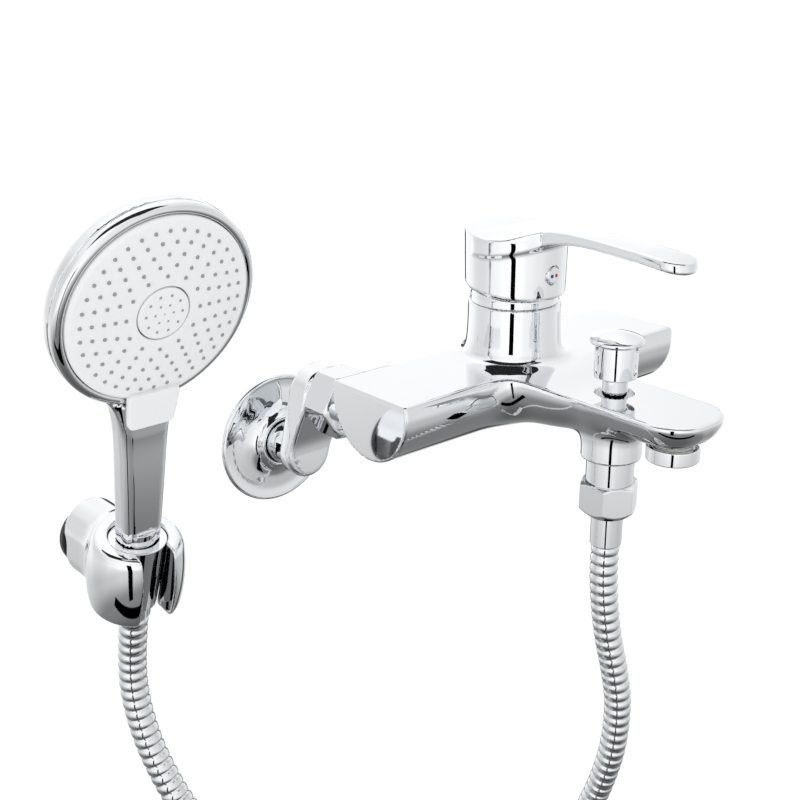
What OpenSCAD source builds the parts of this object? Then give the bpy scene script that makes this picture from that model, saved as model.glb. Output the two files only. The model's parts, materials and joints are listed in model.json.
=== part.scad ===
// Single-lever wall-mounted bath mixer with hand shower, hose and wall holder.
// Millimetres, +Z up. The wall is the plane y = 0, the room is on the -Y side, and the
// origin lies midway between the two wall inlets.

/* [Wall connection] */
// Distance between the two wall inlets
inlet_spacing = 150; // [140:1:155]
// Outside radius of the G1/2 wall thread
wall_thread_r = 10.48; // [10.4:0.01:10.5]
// How far the wall thread reaches into the wall
wall_thread_length = 14; // [10:1:20]
// Outside radius of the wall flange
flange_r = 32.5; // [28:0.5:38]
// Depth of the wall flange
flange_depth = 6; // [4:0.5:9]
// Sideways offset of each eccentric union
union_offset_x = 6.5; // [4:0.5:9]
// Upward offset of each eccentric union
union_offset_z = 30; // [26:1:34]
// Hexagon size of the coupling nuts, across flats
coupling_nut_flats = 30; // [29:1:32]
// Length of each coupling nut
coupling_nut_length = 17; // [15:1:20]

/* [Mixer body] */
// Half of the overall body length
body_half_length = 89; // [86:1:100]
// Distance from the wall to the middle of the body
body_reach = 91; // [88:1:100]
// Radius of the round belly of the body
body_belly_r = 25; // [24:0.5:28]
// Height of the flat top of the body above the belly centre
body_flat_height = 6.5; // [5:0.5:8]
// Outside radius of the cartridge riser at its top
riser_r = 21.6; // [21:0.1:23]
// Height of the cartridge riser above the flat top
riser_height = 25.7; // [24:0.1:30]
// Distance from the body middle to the diverter axis
diverter_reach = 62.5; // [58:0.5:68]
// Distance from the body middle to the aerator axis
aerator_reach = 96; // [92:1:102]
// Length of the spout nose beyond the aerator axis
spout_nose = 19; // [17:1:24]
// Half width of the spout
spout_half_width = 20.5; // [19:0.5:23]
// Depth of the spout belly
spout_depth = 15.5; // [14:0.5:18]

/* [Cartridge] */
// Radius of the ceramic cartridge housing
cartridge_r = 17.5; // [17:0.1:17.8]
// Length of the cartridge housing
cartridge_length = 34; // [32:1:36]

/* [Lever] */
// Outside radius of the lever cap
cap_r = 23.8; // [23.4:0.1:26]
// Wall of the lever cap
cap_wall = 1.5; // [1.3:0.1:1.6]
// Height of the lever cap skirt
cap_height = 27; // [22:1:28]
// Forward tilt of the closed lever, degrees
lever_rest_tilt = 6.5; // [5:0.5:7.5]
// Length of the lever from the cartridge axis to its tip
lever_length = 99; // [90:1:110]
// Half width of the lever paddle
lever_half_width = 8.5; // [7:0.5:10]

/* [Diverter] */
// Radius of the pull knob cap
knob_cap_r = 12; // [11:0.5:14]
// Radius of the pull knob body
knob_body_r = 9.6; // [9:0.1:10.5]
// Lift of the diverter knob
diverter_lift = 8; // [6:1:8]

/* [Hose] */
// Outside diameter of the metal hose
hose_d = 13; // [12:0.5:13]
// Hexagon size of the hose nut, across flats
hose_nut_flats = 24; // [23.5:0.5:26]

/* [Hand shower] */
// Outside radius of the hand shower head
head_r = 44; // [42:1:50]
// Distance from the hose nut bottom to the middle of the head
head_height = 146; // [140:1:160]
// Lean of the handle away from the wall, degrees
handset_lean = 12; // [10:1:14]
// Extra tilt of the head against the handle, degrees
head_tilt = 5; // [3:1:8]
// Width of the handle at its foot
handle_width = 18; // [17.5:0.5:20]
// Depth of the handle at its foot
handle_depth = 12.5; // [12:0.5:15]

/* [Wall holder] */
// Place of the holder along the wall
holder_x = -180; // [-200:1:-170]
// Distance from the wall to the cup axis at cup mid height
holder_reach = 42; // [40:1:48]
// Outside radius of the holder cup
holder_r = 21; // [20:0.5:24]
// Height of the holder cup
holder_height = 36; // [34:1:40]

/* [Hidden] */

$fn = 64;
gap = 0.05;         // running clearance of round fits, radial
loose = 0.3;        // clearance between parts that only pass each other
EPS = 0.01;

// Body levels
inlet_x = inlet_spacing / 2 - union_offset_x;
belly_z = union_offset_z + 14.5;
top_z = belly_z + body_flat_height;
riser_top = top_z + riser_height;
diverter_y = -(body_reach + diverter_reach);
aerator_y = -(body_reach + aerator_reach);
spout_tip = body_reach + aerator_reach + spout_nose;
spout_top = top_z - 3.5;

// Eccentric unions
stub_r = 10.5;
lobe_low_r = 12;
lobe_high_r = 14;
lobe_back = 20;
lobe_front = 37;
male_r = 13.2;
male_end = lobe_front + 11;
nut_back = lobe_front + 1;
nut_front = nut_back + coupling_nut_length;
washer_t = 2;
tail_r = 9.8;
tail_lip_r = male_r - 0.4;

// Cartridge stack
chamber_floor = riser_top - 39.7;
cartridge_top = chamber_floor + cartridge_length;
disc_r = 14.5;
disc_t = 3;
disc_floor = chamber_floor + 6.5;
disc_shift = 1.6;                       // closed place of the moving disc, towards the wall
port_places = [[-7.5, 3], [7.5, 3], [0, -8.5]];
rotor_r = 12;
pivot_z = cartridge_top + 1;
spindle_r = 4;
spindle_tip = 14;                       // reach of the spindle below its pin

// Diverter
bush_floor = spout_top - 3;
bush_r = 8.7;
bush_length = 5;
neck_r = 5.6;
neck_top = spout_top + 16;
stem_r = 3;
knob_foot = spout_top + 7.5;
knob_top = spout_top + 28;
valve_r = 6.9;

// Spout end and shower outlet
aerator_r = 11.5;
aerator_face = spout_top - 21;
aerator_seat = spout_top - 14.5;
outlet_z = spout_top - 30;
outlet_r = 13.5;
nipple_r = 10.48;
nipple_bottom = outlet_z - 18;
nut_top_z = outlet_z - 11;
nut_bottom_z = nut_top_z - 17.5;
ferrule_bottom = nut_bottom_z - 15;

// Hand shower, in its own frame: foot of the cone nut at the origin, handle along +Z
cone_length = 34;
cone_low_r = 9.4;
cone_high_r = 12.6;
cone_rim = cone_length / 2;
neck_thread_r = 10.4;
head_forward = 8;                       // face middle in front of the handle axis
back_z = -22;                           // back of the head dome
shelf_z = -9.9;                         // shelf that the distributor lies on
face_r = head_r - 4;
handle_foot = cone_length + loose;
handle_head = head_height - head_r + 14;
tube_foot = 24.4;
tube_rise = head_height - head_r - 4;   // height of the water tube's top
tube_shift = 3.6;                       // the water tube leans back by this much
tube_lean = atan(tube_shift / (tube_rise - tube_foot));
tube_length = (tube_rise - tube_foot) / cos(tube_lean);
holder_z = -22;

// Lever cap levels, measured along the tilted axis from the pivot
skirt_low = riser_top + 5.4 - pivot_z;
cap_top = skirt_low + cap_height;
paddle_z = cap_top + pivot_z + 6;
index_z = skirt_low + 7;

// Put-away coil of the hose, three lanes side by side
coil_x = -60;
coil_y = -103;
coil_z = -265;
coil_r = 71.5;
coil_width = 3.5 * hose_d;

// Nozzles of the spray face: how many on each ring, and the ring's radius
nozzle_rings = [[12, 16.2], [24, 21.3], [24, 25.8], [36, 30.5], [36, 35]];

// Route of the hose, from the ferrule down and from the hand shower down
run_mixer_points = [
    [0, -153.5, -26], [0, -153.5, -40], [1, -154, -55], [4, -155, -75], [8, -157, -95],
    [11, -158, -115], [12, -156, -140], [12, -150, -165], [12, -141, -190], [12, -132, -215],
    [11.5, -124, -240], [11.5, -119.5, -265]
];
run_handset_points = [
    [-180, -37.1, -44.8], [-180, -34.5, -57], [-180, -32.2, -70], [-180, -31.5, -84],
    [-179, -33, -100], [-176, -37.5, -120], [-170, -46, -143], [-160, -57, -168],
    [-149, -68, -195], [-139, -77, -220], [-133, -84, -245], [-131.5, -86.5, -265]
];

// ---------------------------------------------------------------- shared shapes
// Round bar or tube along +Z from z0 to z1
module bar(r, z0, z1) {
    translate([0, 0, z0]) cylinder(r = r, h = z1 - z0);
}
module tube(r_out, r_in, z0, z1) {
    difference() {
        bar(r_out, z0, z1);
        bar(r_in, z0 - 1, z1 + 1);
    }
}
// Hexagonal nut blank with rounded-down corners
module hex_blank(flats, z0, z1, crown) {
    r = flats / sqrt(3);
    intersection() {
        translate([0, 0, z0]) cylinder(r = r, h = z1 - z0, $fn = 6);
        rotate_extrude() polygon([
            [0, z0], [r - crown, z0], [r, z0 + crown], [r, z1 - crown], [r - crown, z1], [0, z1]
        ]);
    }
}
// Puts +Z along -Y, away from the wall, at a place on the wall
module from_wall(x, z) {
    translate([x, 0, z]) rotate([90, 0, 0]) children();
}
module at_riser() {
    translate([0, -body_reach, 0]) children();
}
module at_diverter() {
    translate([0, diverter_y, 0]) children();
}
module at_aerator() {
    translate([0, aerator_y, 0]) children();
}
module at_cup() {
    translate([holder_x, -holder_reach, holder_z]) rotate([handset_lean, 0, 0]) children();
}
module at_handset() {
    at_cup() translate([0, 0, -cone_rim]) children();
}
// Frame of the spray head: +Z is the spray direction, origin at the middle of the face
module at_head() {
    at_handset() translate([0, -head_forward, head_height]) rotate([90 + head_tilt, 0, 0])
        children();
}
// Line of the water tube inside the handle
module at_tube() {
    at_handset() translate([0, 0, tube_foot]) rotate([-tube_lean, 0, 0]) children();
}

// Swept tube: points, then unit tangents, then rings of a frame that stays square to the path
function unit(v) = v / norm(v);
function tangent(p, i) = unit(p[min(i + 1, len(p) - 1)] - p[max(i - 1, 0)]);
function sweep_ring(p, i, r, sides) =
    let (t = tangent(p, i), side = unit(cross(t, [0, 1, 0.001])), other = cross(t, side))
    [for (k = [0:sides - 1]) p[i] + r * cos(360 * k / sides) * side + r * sin(360 * k / sides) * other];
module sweep_tube(p, r, sides = 10) {
    n = len(p);
    rings = [for (i = [0:n - 1]) each sweep_ring(p, i, r, sides)];
    walls = [for (i = [0:n - 2], k = [0:sides - 1])
        let (a = i * sides + k, b = i * sides + (k + 1) % sides)
        each [[a, a + sides, b + sides], [a, b + sides, b]]];
    start = [[for (k = [0:sides - 1]) k]];
    finish = [[for (k = [0:sides - 1]) n * sides - 1 - k]];
    polyhedron(points = rings, faces = concat(walls, start, finish), convexity = 4);
}

// ---------------------------------------------------------------- wall connection
module wall_flange(x) {
    color("silver") from_wall(x, 0) rotate_extrude() polygon([
        [stub_r + 1.6, 0], [flange_r - 1.5, 0], [flange_r, 1], [flange_r, 2.4],
        [flange_r - 1.2, 3], [flange_r - 4, 3], [stub_r + 12, flange_depth - 1.4],
        [stub_r + 5, flange_depth], [stub_r + 3.4, flange_depth + 2.4],
        [stub_r + 1.6, flange_depth + 2.4]
    ]);
}
module wall_flange_left() {
    wall_flange(-inlet_spacing / 2);
}
module wall_flange_right() {
    wall_flange(inlet_spacing / 2);
}
module flange_seals() {
    color("black") for (side = [-1, 1]) from_wall(side * inlet_spacing / 2, 0)
        tube(stub_r + 1.6, stub_r, 2, 4);
}

// Eccentric union: thread in the wall, stub, two-lobed offset block and G3/4 male end
module eccentric(side) {
    x = side * inlet_spacing / 2;
    color("silver") difference() {
        union() {
            from_wall(x, 0) bar(wall_thread_r, -wall_thread_length, 0);
            from_wall(x, 0) bar(stub_r, 0, lobe_back + 2);
            hull() {
                from_wall(x, 0) bar(lobe_low_r, lobe_back, lobe_front - 8, $fn = 48);
                from_wall(x, 0) bar(lobe_low_r - 1, lobe_back, lobe_front - 7, $fn = 48);
                from_wall(side * inlet_x, union_offset_z)
                    bar(lobe_high_r - 1.5, lobe_back + 3, lobe_front, $fn = 48);
                from_wall(side * inlet_x, union_offset_z)
                    bar(lobe_high_r, lobe_back + 4, lobe_front - 1.5, $fn = 48);
            }
            from_wall(side * inlet_x, union_offset_z) bar(male_r, lobe_front - 1, male_end);
        }
        from_wall(x, 0) bar(7.5, -wall_thread_length - 1, lobe_back + 4);
        from_wall(side * inlet_x, union_offset_z) bar(7.5, lobe_back + 6, male_end + 1);
        from_wall(side * inlet_x, union_offset_z) bar(10.3, male_end - 6, male_end + 1);
        hull() {
            from_wall(x, 0) bar(5, lobe_back + 2, lobe_back + 6, $fn = 32);
            from_wall(side * inlet_x, union_offset_z) bar(5, lobe_back + 7, lobe_back + 10, $fn = 32);
        }
    }
}
module eccentric_left() {
    eccentric(-1);
}
module eccentric_right() {
    eccentric(1);
}
module inlet_strainers() {
    color("gainsboro") for (side = [-1, 1]) from_wall(side * inlet_x, union_offset_z) {
        tube(10.2, 8.6, male_end - 6, male_end);
        tube(8.6, 7.8, male_end - 6, male_end - 1);
        bar(8.6, male_end - 6, male_end - 5);
    }
}
module inlet_washers() {
    color("darkred") for (side = [-1, 1]) from_wall(side * inlet_x, union_offset_z)
        tube(tail_lip_r - 0.2, 7.5, male_end, male_end + washer_t);
}
module coupling_nut(side) {
    color("silver") from_wall(side * inlet_x, union_offset_z) difference() {
        hex_blank(coupling_nut_flats, nut_back, nut_front, 1.6);
        bar(male_r + gap, nut_back - 1, nut_front - 3.5);
        bar(tail_r + 0.25, nut_back - 1, nut_front + 1);
    }
}
module coupling_nut_left() {
    coupling_nut(-1);
}
module coupling_nut_right() {
    coupling_nut(1);
}

// ---------------------------------------------------------------- mixer body
// Spout half width, top and belly depth at a distance u from the wall
function ease(a, b, u) = let (t = max(0, min(1, (u - a) / (b - a)))) t * t * (3 - 2 * t);
function nose(u) =
    let (t = max(0, (u - (spout_tip - 34)) / 34)) pow(max(0, 1 - pow(t, 2.6)), 1 / 2.6);
function spout_w(u) =
    nose(u) * (spout_half_width + 6 * (1 - ease(body_reach + 28, body_reach + 62, u)));
function spout_t(u) =
    spout_top + (top_z - spout_top) * (1 - ease(body_reach + 24, body_reach + 56, u));
function spout_d(u) =
    nose(u) * (spout_depth + 9.5 * (1 - ease(body_reach + 36, body_reach + 80, u)));
module spout_shell() {
    sides = 16;
    stations = concat([for (i = [0:9]) 10 + body_reach + i * (spout_tip - body_reach - 44) / 9],
                      [for (i = [1:8]) spout_tip - 34 + 33.6 * sin(90 * i / 8)]);
    n = len(stations);
    rings = [for (u = stations) each
        [for (k = [0:sides]) let (a = 180 * k / sides)
            [-spout_w(u) * cos(a), -u, spout_t(u) - spout_d(u) * pow(sin(a), 0.85)]]];
    m = sides + 1;
    walls = [for (i = [0:n - 2], k = [0:sides - 1])
        each [[i * m + k, (i + 1) * m + k, (i + 1) * m + k + 1],
              [i * m + k, (i + 1) * m + k + 1, i * m + k + 1]]];
    lids = [for (i = [0:n - 2])
        each [[i * m, i * m + sides, (i + 1) * m + sides], [i * m, (i + 1) * m + sides, (i + 1) * m]]];
    middles = [for (u = [stations[0], stations[n - 1]]) [0, -u, spout_t(u) - spout_d(u) / 3]];
    start = [for (k = [0:sides]) [k, (k + 1) % m, n * m]];
    finish = [for (k = [0:sides]) [(n - 1) * m + (k + 1) % m, (n - 1) * m + k, n * m + 1]];
    polyhedron(points = concat(rings, middles), faces = concat(walls, lids, start, finish),
               convexity = 6);
}
module body_casting() {
    color("silver") difference() {
        union() {
            intersection() {
                translate([-body_half_length, -body_reach, belly_z]) rotate([0, 90, 0])
                    cylinder(r = body_belly_r, h = 2 * body_half_length, $fn = 96);
                translate([-body_half_length - 1, -body_reach - 40, top_z - 60])
                    cube([2 * body_half_length + 2, 80, 60]);
            }
            at_riser() rotate_extrude() polygon([
                [0, top_z - 12], [riser_r + 3.2, top_z - 12], [riser_r + 3.2, top_z],
                [riser_r + 1.6, top_z + 2], [riser_r + 0.8, top_z + 6], [riser_r, riser_top], [0, riser_top]
            ]);
            spout_shell();
            at_diverter() rotate_extrude() polygon([
                [0, outlet_z], [outlet_r - 0.8, outlet_z], [outlet_r, outlet_z + 0.8],
                [outlet_r, outlet_z + 4], [outlet_r - 0.6, outlet_z + 8],
                [outlet_r + 1, outlet_z + 12], [outlet_r + 3.5, outlet_z + 16], [0, outlet_z + 16]
            ]);
            at_aerator() bar(aerator_r + 0.4, aerator_seat, spout_top - 8);
            for (side = [-1, 1]) from_wall(side * inlet_x, union_offset_z) {
                bar(tail_r, male_end + washer_t + 1, body_reach - 10);
                bar(tail_lip_r, male_end + washer_t, nut_front - 3.7);
            }
        }
        // cartridge chamber with its thread recess
        at_riser() bar(cartridge_r + gap, chamber_floor, riser_top + 1);
        at_riser() bar(cartridge_r + 1.8, cartridge_top - 4, riser_top + 1);
        // hot and cold ways
        for (side = [-1, 1]) {
            from_wall(side * inlet_x, union_offset_z) bar(7.5, male_end, body_reach);
            translate([side * 7, -body_reach, union_offset_z]) rotate([0, side * 90, 0])
                bar(6, 0, inlet_x - 7);
            translate([side * 7.5, -body_reach + 3, 0]) bar(3.4, union_offset_z, chamber_floor + 1);
        }
        // mixed water way to the diverter
        translate([0, -body_reach - 8.5, 0]) bar(3.4, union_offset_z, chamber_floor + 1);
        translate([0, 0, union_offset_z - 1]) from_wall(0, 0)
            bar(4.8, body_reach + 6, body_reach + diverter_reach);
        // diverter chamber, thread and recess
        at_diverter() bar(7.6, outlet_z + 9, bush_floor);
        at_diverter() bar(bush_r + gap, bush_floor - bush_length, spout_top + 6);
        at_diverter() bar(5, outlet_z - 1, outlet_z + 10);
        at_diverter() bar(nipple_r + gap, outlet_z - 1, outlet_z + 6);
        // way from the diverter to the aerator
        translate([0, 0, spout_top - 9.5]) from_wall(0, 0)
            bar(3.2, body_reach + diverter_reach + 5, body_reach + aerator_reach);
        at_aerator() bar(10.1, aerator_seat - 1, spout_top - 8);
        at_aerator() bar(aerator_r + 0.4, aerator_face - 2, aerator_seat);
    }
}

// ---------------------------------------------------------------- cartridge
module at_ports() {
    for (place = port_places) translate([place[0], place[1], 0]) children();
}
module cartridge_housing() {
    color("whitesmoke") at_riser() difference() {
        union() {
            bar(cartridge_r, chamber_floor + 1, cartridge_top - 4);
            bar(cartridge_r - 2, cartridge_top - 4.5, cartridge_top);
        }
        bar(disc_r + 0.6, disc_floor, cartridge_top - 8);
        bar(rotor_r + gap, cartridge_top - 9, cartridge_top + 1);
        at_ports() bar(3.4, chamber_floor - 1, chamber_floor + 8);
        at_ports() bar(5.1, chamber_floor - 1, chamber_floor + 2.2);
    }
}
module cartridge_seals() {
    color("black") at_riser() at_ports() tube(5, 3.5, chamber_floor, chamber_floor + 2.2);
}
module fixed_disc() {
    color("white") at_riser() difference() {
        bar(disc_r, disc_floor, disc_floor + disc_t);
        at_ports() bar(3, chamber_floor, chamber_floor + 12);
    }
}
module at_moving() {
    at_riser() translate([0, disc_shift, disc_floor + disc_t]) children();
}
module moving_disc() {
    color("ivory") at_moving() difference() {
        bar(disc_r - 3.6, 0, disc_t);
        translate([0, -3, 0]) bar(6, -1, disc_t - 1);
    }
}
module disc_carrier() {
    color("dimgray") at_moving() difference() {
        union() {
            bar(disc_r - 4.2, disc_t, disc_t + 3);
            bar(7.4, disc_t, disc_t + 10.5);
        }
        bar(spindle_r - 0.3, disc_t + 6.5, disc_t + 12);
    }
}
module cartridge_rotor() {
    color("dimgray") at_riser() difference() {
        union() {
            bar(rotor_r, cartridge_top - 7.5, cartridge_top);
            bar(rotor_r - 2, cartridge_top - EPS, cartridge_top + 5);
        }
        translate([-spindle_r - 0.4, -rotor_r + 2.6, cartridge_top - 8.5])
            cube([2 * spindle_r + 0.8, 2 * rotor_r - 5.2, 16]);
        translate([-rotor_r - 1, 0, pivot_z]) rotate([0, 90, 0]) bar(1.5 + EPS, 0, 2 * rotor_r + 2);
    }
}
module spindle_pin() {
    color("lightgray") at_riser() translate([0, 0, pivot_z]) rotate([0, 90, 0])
        bar(1.5, -rotor_r + 2.6, rotor_r - 2.6);
}
// Metal spindle, tilted with the lever about the pin
module at_lever() {
    translate([0, -body_reach, pivot_z]) rotate([lever_rest_tilt, 0, 0]) children();
}
module spindle() {
    color("lightgray") at_lever() difference() {
        union() {
            bar(spindle_r, -4, 24);
            bar(spindle_r - 1, -spindle_tip, -4 + EPS);
        }
        translate([-10, 0, 0]) rotate([0, 90, 0]) bar(1.5 + gap, 0, 20);
    }
}
module cartridge_nut() {
    color("goldenrod") at_riser() difference() {
        union() {
            bar(cartridge_r + 1.8 - gap, cartridge_top - 4 + EPS, riser_top - 0.4);
            intersection() {
                bar(cartridge_r + 0.4, riser_top - 1, riser_top + 3);
                translate([0, 0, riser_top - 1]) cylinder(r = 19, h = 4, $fn = 6);
            }
        }
        bar(cartridge_r - 2 + gap, cartridge_top - 5, riser_top + 4);
    }
}
module collar_ring() {
    color("silver") at_riser() rotate_extrude() polygon([
        [18.6, riser_top], [20.4, riser_top], [20.4, riser_top + 3.6], [19.6, riser_top + 5.4],
        [17.8, riser_top + 6.4], [14.5, riser_top + 6.4], [14.5, riser_top + 5],
        [17.4, riser_top + 5], [18.6, riser_top + 4]
    ]);
}

// ---------------------------------------------------------------- lever
module lever_cap() {
    at_lever() difference() {
        rotate_extrude() polygon([
            [0, skirt_low], [cap_r - 1.6, skirt_low], [cap_r - 0.5, skirt_low + 1],
            [cap_r, skirt_low + 3], [cap_r, cap_top - 0.6], [cap_r - 0.8, cap_top],
            [cap_r - 7, cap_top + 2.2], [cap_r - 15, cap_top + 3.4], [0, cap_top + 3.8]
        ]);
        rotate_extrude() polygon([
            [0, skirt_low - 1], [cap_r - cap_wall, skirt_low - 1],
            [cap_r - cap_wall, cap_top - 8], [cap_r - 5, cap_top - 3], [0, cap_top - 3]
        ]);
    }
    at_lever() tube(8, spindle_r + gap, skirt_low + 4, cap_top - 2);
}
module lever_paddle() {
    intersection() {
        translate([-15, 0, 0]) rotate([90, 0, 90]) linear_extrude(30) polygon([
            [-body_reach - 12, paddle_z - 9], [-body_reach - 12, paddle_z - 1.5],
            [-body_reach - 22, paddle_z - 1.2], [-body_reach - 32, paddle_z + 0.6],
            [-body_reach - 60, paddle_z + 0.4], [-body_reach - 85, paddle_z - 0.8],
            [-body_reach - lever_length + 2, paddle_z - 2.6], [-body_reach - lever_length, paddle_z - 5],
            [-body_reach - lever_length + 3, paddle_z - 7.6], [-body_reach - 88, paddle_z - 8],
            [-body_reach - 60, paddle_z - 6.4], [-body_reach - 36, paddle_z - 5.4],
            [-body_reach - 22, paddle_z - 6]
        ]);
        union() {
            translate([-lever_half_width, -body_reach - lever_length + lever_half_width, paddle_z - 20])
                cube([2 * lever_half_width, lever_length - lever_half_width - 12, 30]);
            translate([0, -body_reach - lever_length + lever_half_width, paddle_z - 20])
                cylinder(r = lever_half_width, h = 30);
        }
    }
}
module at_index() {
    at_lever() translate([0, 0, index_z]) rotate([90, 0, 0]) children();
}
module lever_handle() {
    color("silver") difference() {
        union() {
            lever_cap();
            lever_paddle();
        }
        at_index() {
            bar(2.4 + gap, 3, 12);
            bar(3.2, 8.2, cap_r + 2);
            bar(4 + gap, cap_r - 0.6, cap_r + 2);
        }
    }
}
module grub_screw() {
    color("dimgray") at_index() difference() {
        bar(2.4, spindle_r + gap, 12);
        translate([0, 0, 9]) cylinder(r = 1.3, h = 4, $fn = 6);
    }
}
module index_plug() {
    color("gainsboro") at_index() {
        bar(3.15, cap_r - 3, cap_r - 0.5);
        bar(4, cap_r - 0.6, cap_r + 0.6);
    }
}

// ---------------------------------------------------------------- diverter
module diverter_bush() {
    color("silver") at_diverter() difference() {
        union() {
            bar(bush_r, bush_floor - bush_length, bush_floor);
            bar(neck_r, bush_floor - EPS, neck_top);
            bar(neck_r + 0.4, spout_top + 1.4, spout_top + 2.4);
        }
        bar(stem_r + gap, bush_floor - bush_length - 1, neck_top + 1);
        bar(stem_r + 1.6, bush_floor - bush_length - 1, bush_floor - 3);
    }
}
module bush_seal() {
    color("black") at_diverter()
        tube(stem_r + 1.6, stem_r + gap, bush_floor - bush_length + 0.1, bush_floor - 3);
}
module diverter_stem() {
    color("lightgray") at_diverter() {
        bar(stem_r, outlet_z + 9.2, knob_top - 6);
        bar(valve_r - 1, outlet_z + 11.5, outlet_z + 12.5);
    }
}
module diverter_disc() {
    color("black") at_diverter() tube(valve_r, stem_r, outlet_z + 9.2, outlet_z + 11.5);
}
module stem_seal() {
    color("black") at_diverter() tube(stem_r + 1.4, stem_r, neck_top + 0.6, neck_top + 1.6);
}
// Return spring between the valve collar and the bush
module diverter_spring() {
    turns = 3;
    wire_r = 0.4;
    coil_mid_r = 5.3;
    steps = turns * 12;
    z_low = outlet_z + 12.5 + wire_r + 0.15;
    z_high = bush_floor - bush_length - wire_r - 0.15;
    points = [for (i = [0:steps]) [coil_mid_r * cos(30 * i), diverter_y + coil_mid_r * sin(30 * i),
        z_low + (z_high - z_low) * i / steps]];
    color("lightgray") sweep_tube(points, wire_r, 6);
}
module diverter_knob() {
    color("silver") at_diverter() difference() {
        rotate_extrude() polygon([
            [0, knob_foot], [knob_body_r - 0.4, knob_foot], [knob_body_r, knob_foot + 0.5],
            [knob_body_r, knob_top - 4.6], [knob_cap_r - 0.6, knob_top - 3.4],
            [knob_cap_r, knob_top - 2.6], [knob_cap_r - 0.4, knob_top - 1.9],
            [knob_cap_r - 4, knob_top - 0.5], [0, knob_top]
        ]);
        bar(neck_r + loose, knob_foot - 1, neck_top + 2);
        bar(stem_r + EPS, knob_foot - 1, knob_top - 6);
        for (a = [0:60:300]) rotate(a + 15) translate([knob_body_r + 0.7, 0, knob_foot + 1])
            cylinder(r = 1.3, h = 10, $fn = 24);
    }
}

// ---------------------------------------------------------------- spout end and outlet
module aerator_housing() {
    color("silver") at_aerator() difference() {
        union() {
            bar(aerator_r, aerator_face, aerator_seat - EPS);
            bar(10, aerator_seat - 1, aerator_seat + 3.4);
        }
        bar(8.6, aerator_face + 1.2, aerator_seat + 5);
        bar(8, aerator_face - 1, aerator_face + 2);
    }
}
module aerator_insert() {
    color("whitesmoke") at_aerator() difference() {
        bar(8.5, aerator_face + 1.2, aerator_seat + 2.6);
        for (ring = [[6, 2.6], [10, 5.4]]) for (k = [0:ring[0] - 1]) rotate(360 * k / ring[0])
            translate([ring[1], 0, aerator_face]) cylinder(r = 0.7, h = 14, $fn = 24);
    }
}
module aerator_washer() {
    color("black") at_aerator() tube(9.9, 7.2, aerator_seat + 3.4, aerator_seat + 5);
}
module outlet_nipple() {
    color("silver") at_diverter() difference() {
        union() {
            bar(nipple_r, outlet_z - 1, outlet_z + 5.8);
            bar(nipple_r + 0.3, nut_top_z - 0.9, outlet_z - EPS);
            bar(nipple_r, nipple_bottom, nut_top_z);
        }
        bar(5, nipple_bottom - 1, outlet_z + 7);
        bar(7, nipple_bottom - 1, outlet_z - 4);
    }
}
module check_valve() {
    color("royalblue") at_diverter() {
        tube(6.9, 4.6, outlet_z - 14, outlet_z - 4.2);
        bar(2, outlet_z - 13, outlet_z - 6);
        for (a = [0:90:270]) rotate(a) translate([1, -0.6, outlet_z - 12]) cube([4.2, 1.2, 1.5]);
    }
}
module hose_washer_mixer() {
    color("black") at_diverter() tube(9.6, 5.5, nipple_bottom - 2, nipple_bottom);
}
module hose_nut() {
    color("silver") at_diverter() difference() {
        hex_blank(hose_nut_flats, nut_bottom_z, nut_top_z - 1, 2.6);
        bar(nipple_r + gap, nipple_bottom - 3.3, nut_top_z + 1);
        bar(6.4, nut_bottom_z - 1, nut_top_z);
    }
}
module hose_ferrule() {
    color("silver") at_diverter() difference() {
        union() {
            bar(hose_d / 2 + 0.7, ferrule_bottom, nut_bottom_z - 0.2);
            bar(6.2, nut_bottom_z - 1, nipple_bottom - 3.2);
            bar(9.6, nipple_bottom - 3.2, nipple_bottom - 2);
        }
        bar(4, ferrule_bottom - 1, nipple_bottom);
    }
}

// ---------------------------------------------------------------- hose
module hose_run_mixer() {
    color("lightgray") sweep_tube(run_mixer_points, hose_d / 2);
}
module hose_run_handset() {
    color("lightgray") sweep_tube(run_handset_points, hose_d / 2);
}
// Put-away coil: three turns side by side, standing in a plane parallel to the wall
module hose_coil() {
    color("lightgray") translate([coil_x, coil_y, coil_z]) rotate([90, 0, 0]) rotate_extrude()
        translate([coil_r - hose_d / 2, -coil_width / 2]) square([hose_d, coil_width]);
}
module hose_tie() {
    color("black") translate([coil_x, coil_y, coil_z - coil_r]) rotate([0, 90, 0])
        linear_extrude(12, center = true) difference() {
            square([hose_d + 5, coil_width + 5], center = true);
            square([hose_d + 0.6, coil_width + 0.6], center = true);
        }
}
module hose_end_handset() {
    color("silver") at_handset() difference() {
        union() {
            bar(hose_d / 2 + 0.7, -6, -0.2);
            bar(6.2, -1, 16);
            bar(9.2, 16, 17.4);
        }
        bar(4, -7, 19);
    }
}
module cone_nut() {
    color("silver") at_handset() difference() {
        cylinder(r1 = cone_low_r, r2 = cone_high_r, h = cone_length);
        bar(6.3, -1, 17);
        bar(9.3, 15.8, 20);
        bar(neck_thread_r + gap, 19.4, cone_length + 1);
    }
}
module hose_washer_handset() {
    color("black") at_handset() tube(9.2, 5, 17.4, 19.4);
}
module flow_limiter() {
    color("royalblue") at_handset() difference() {
        bar(6.4, 19.7, 24);
        for (a = [0:60:300]) rotate(a) translate([3.4, 0, 18]) cylinder(r = 0.8, h = 8, $fn = 24);
    }
}

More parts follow.
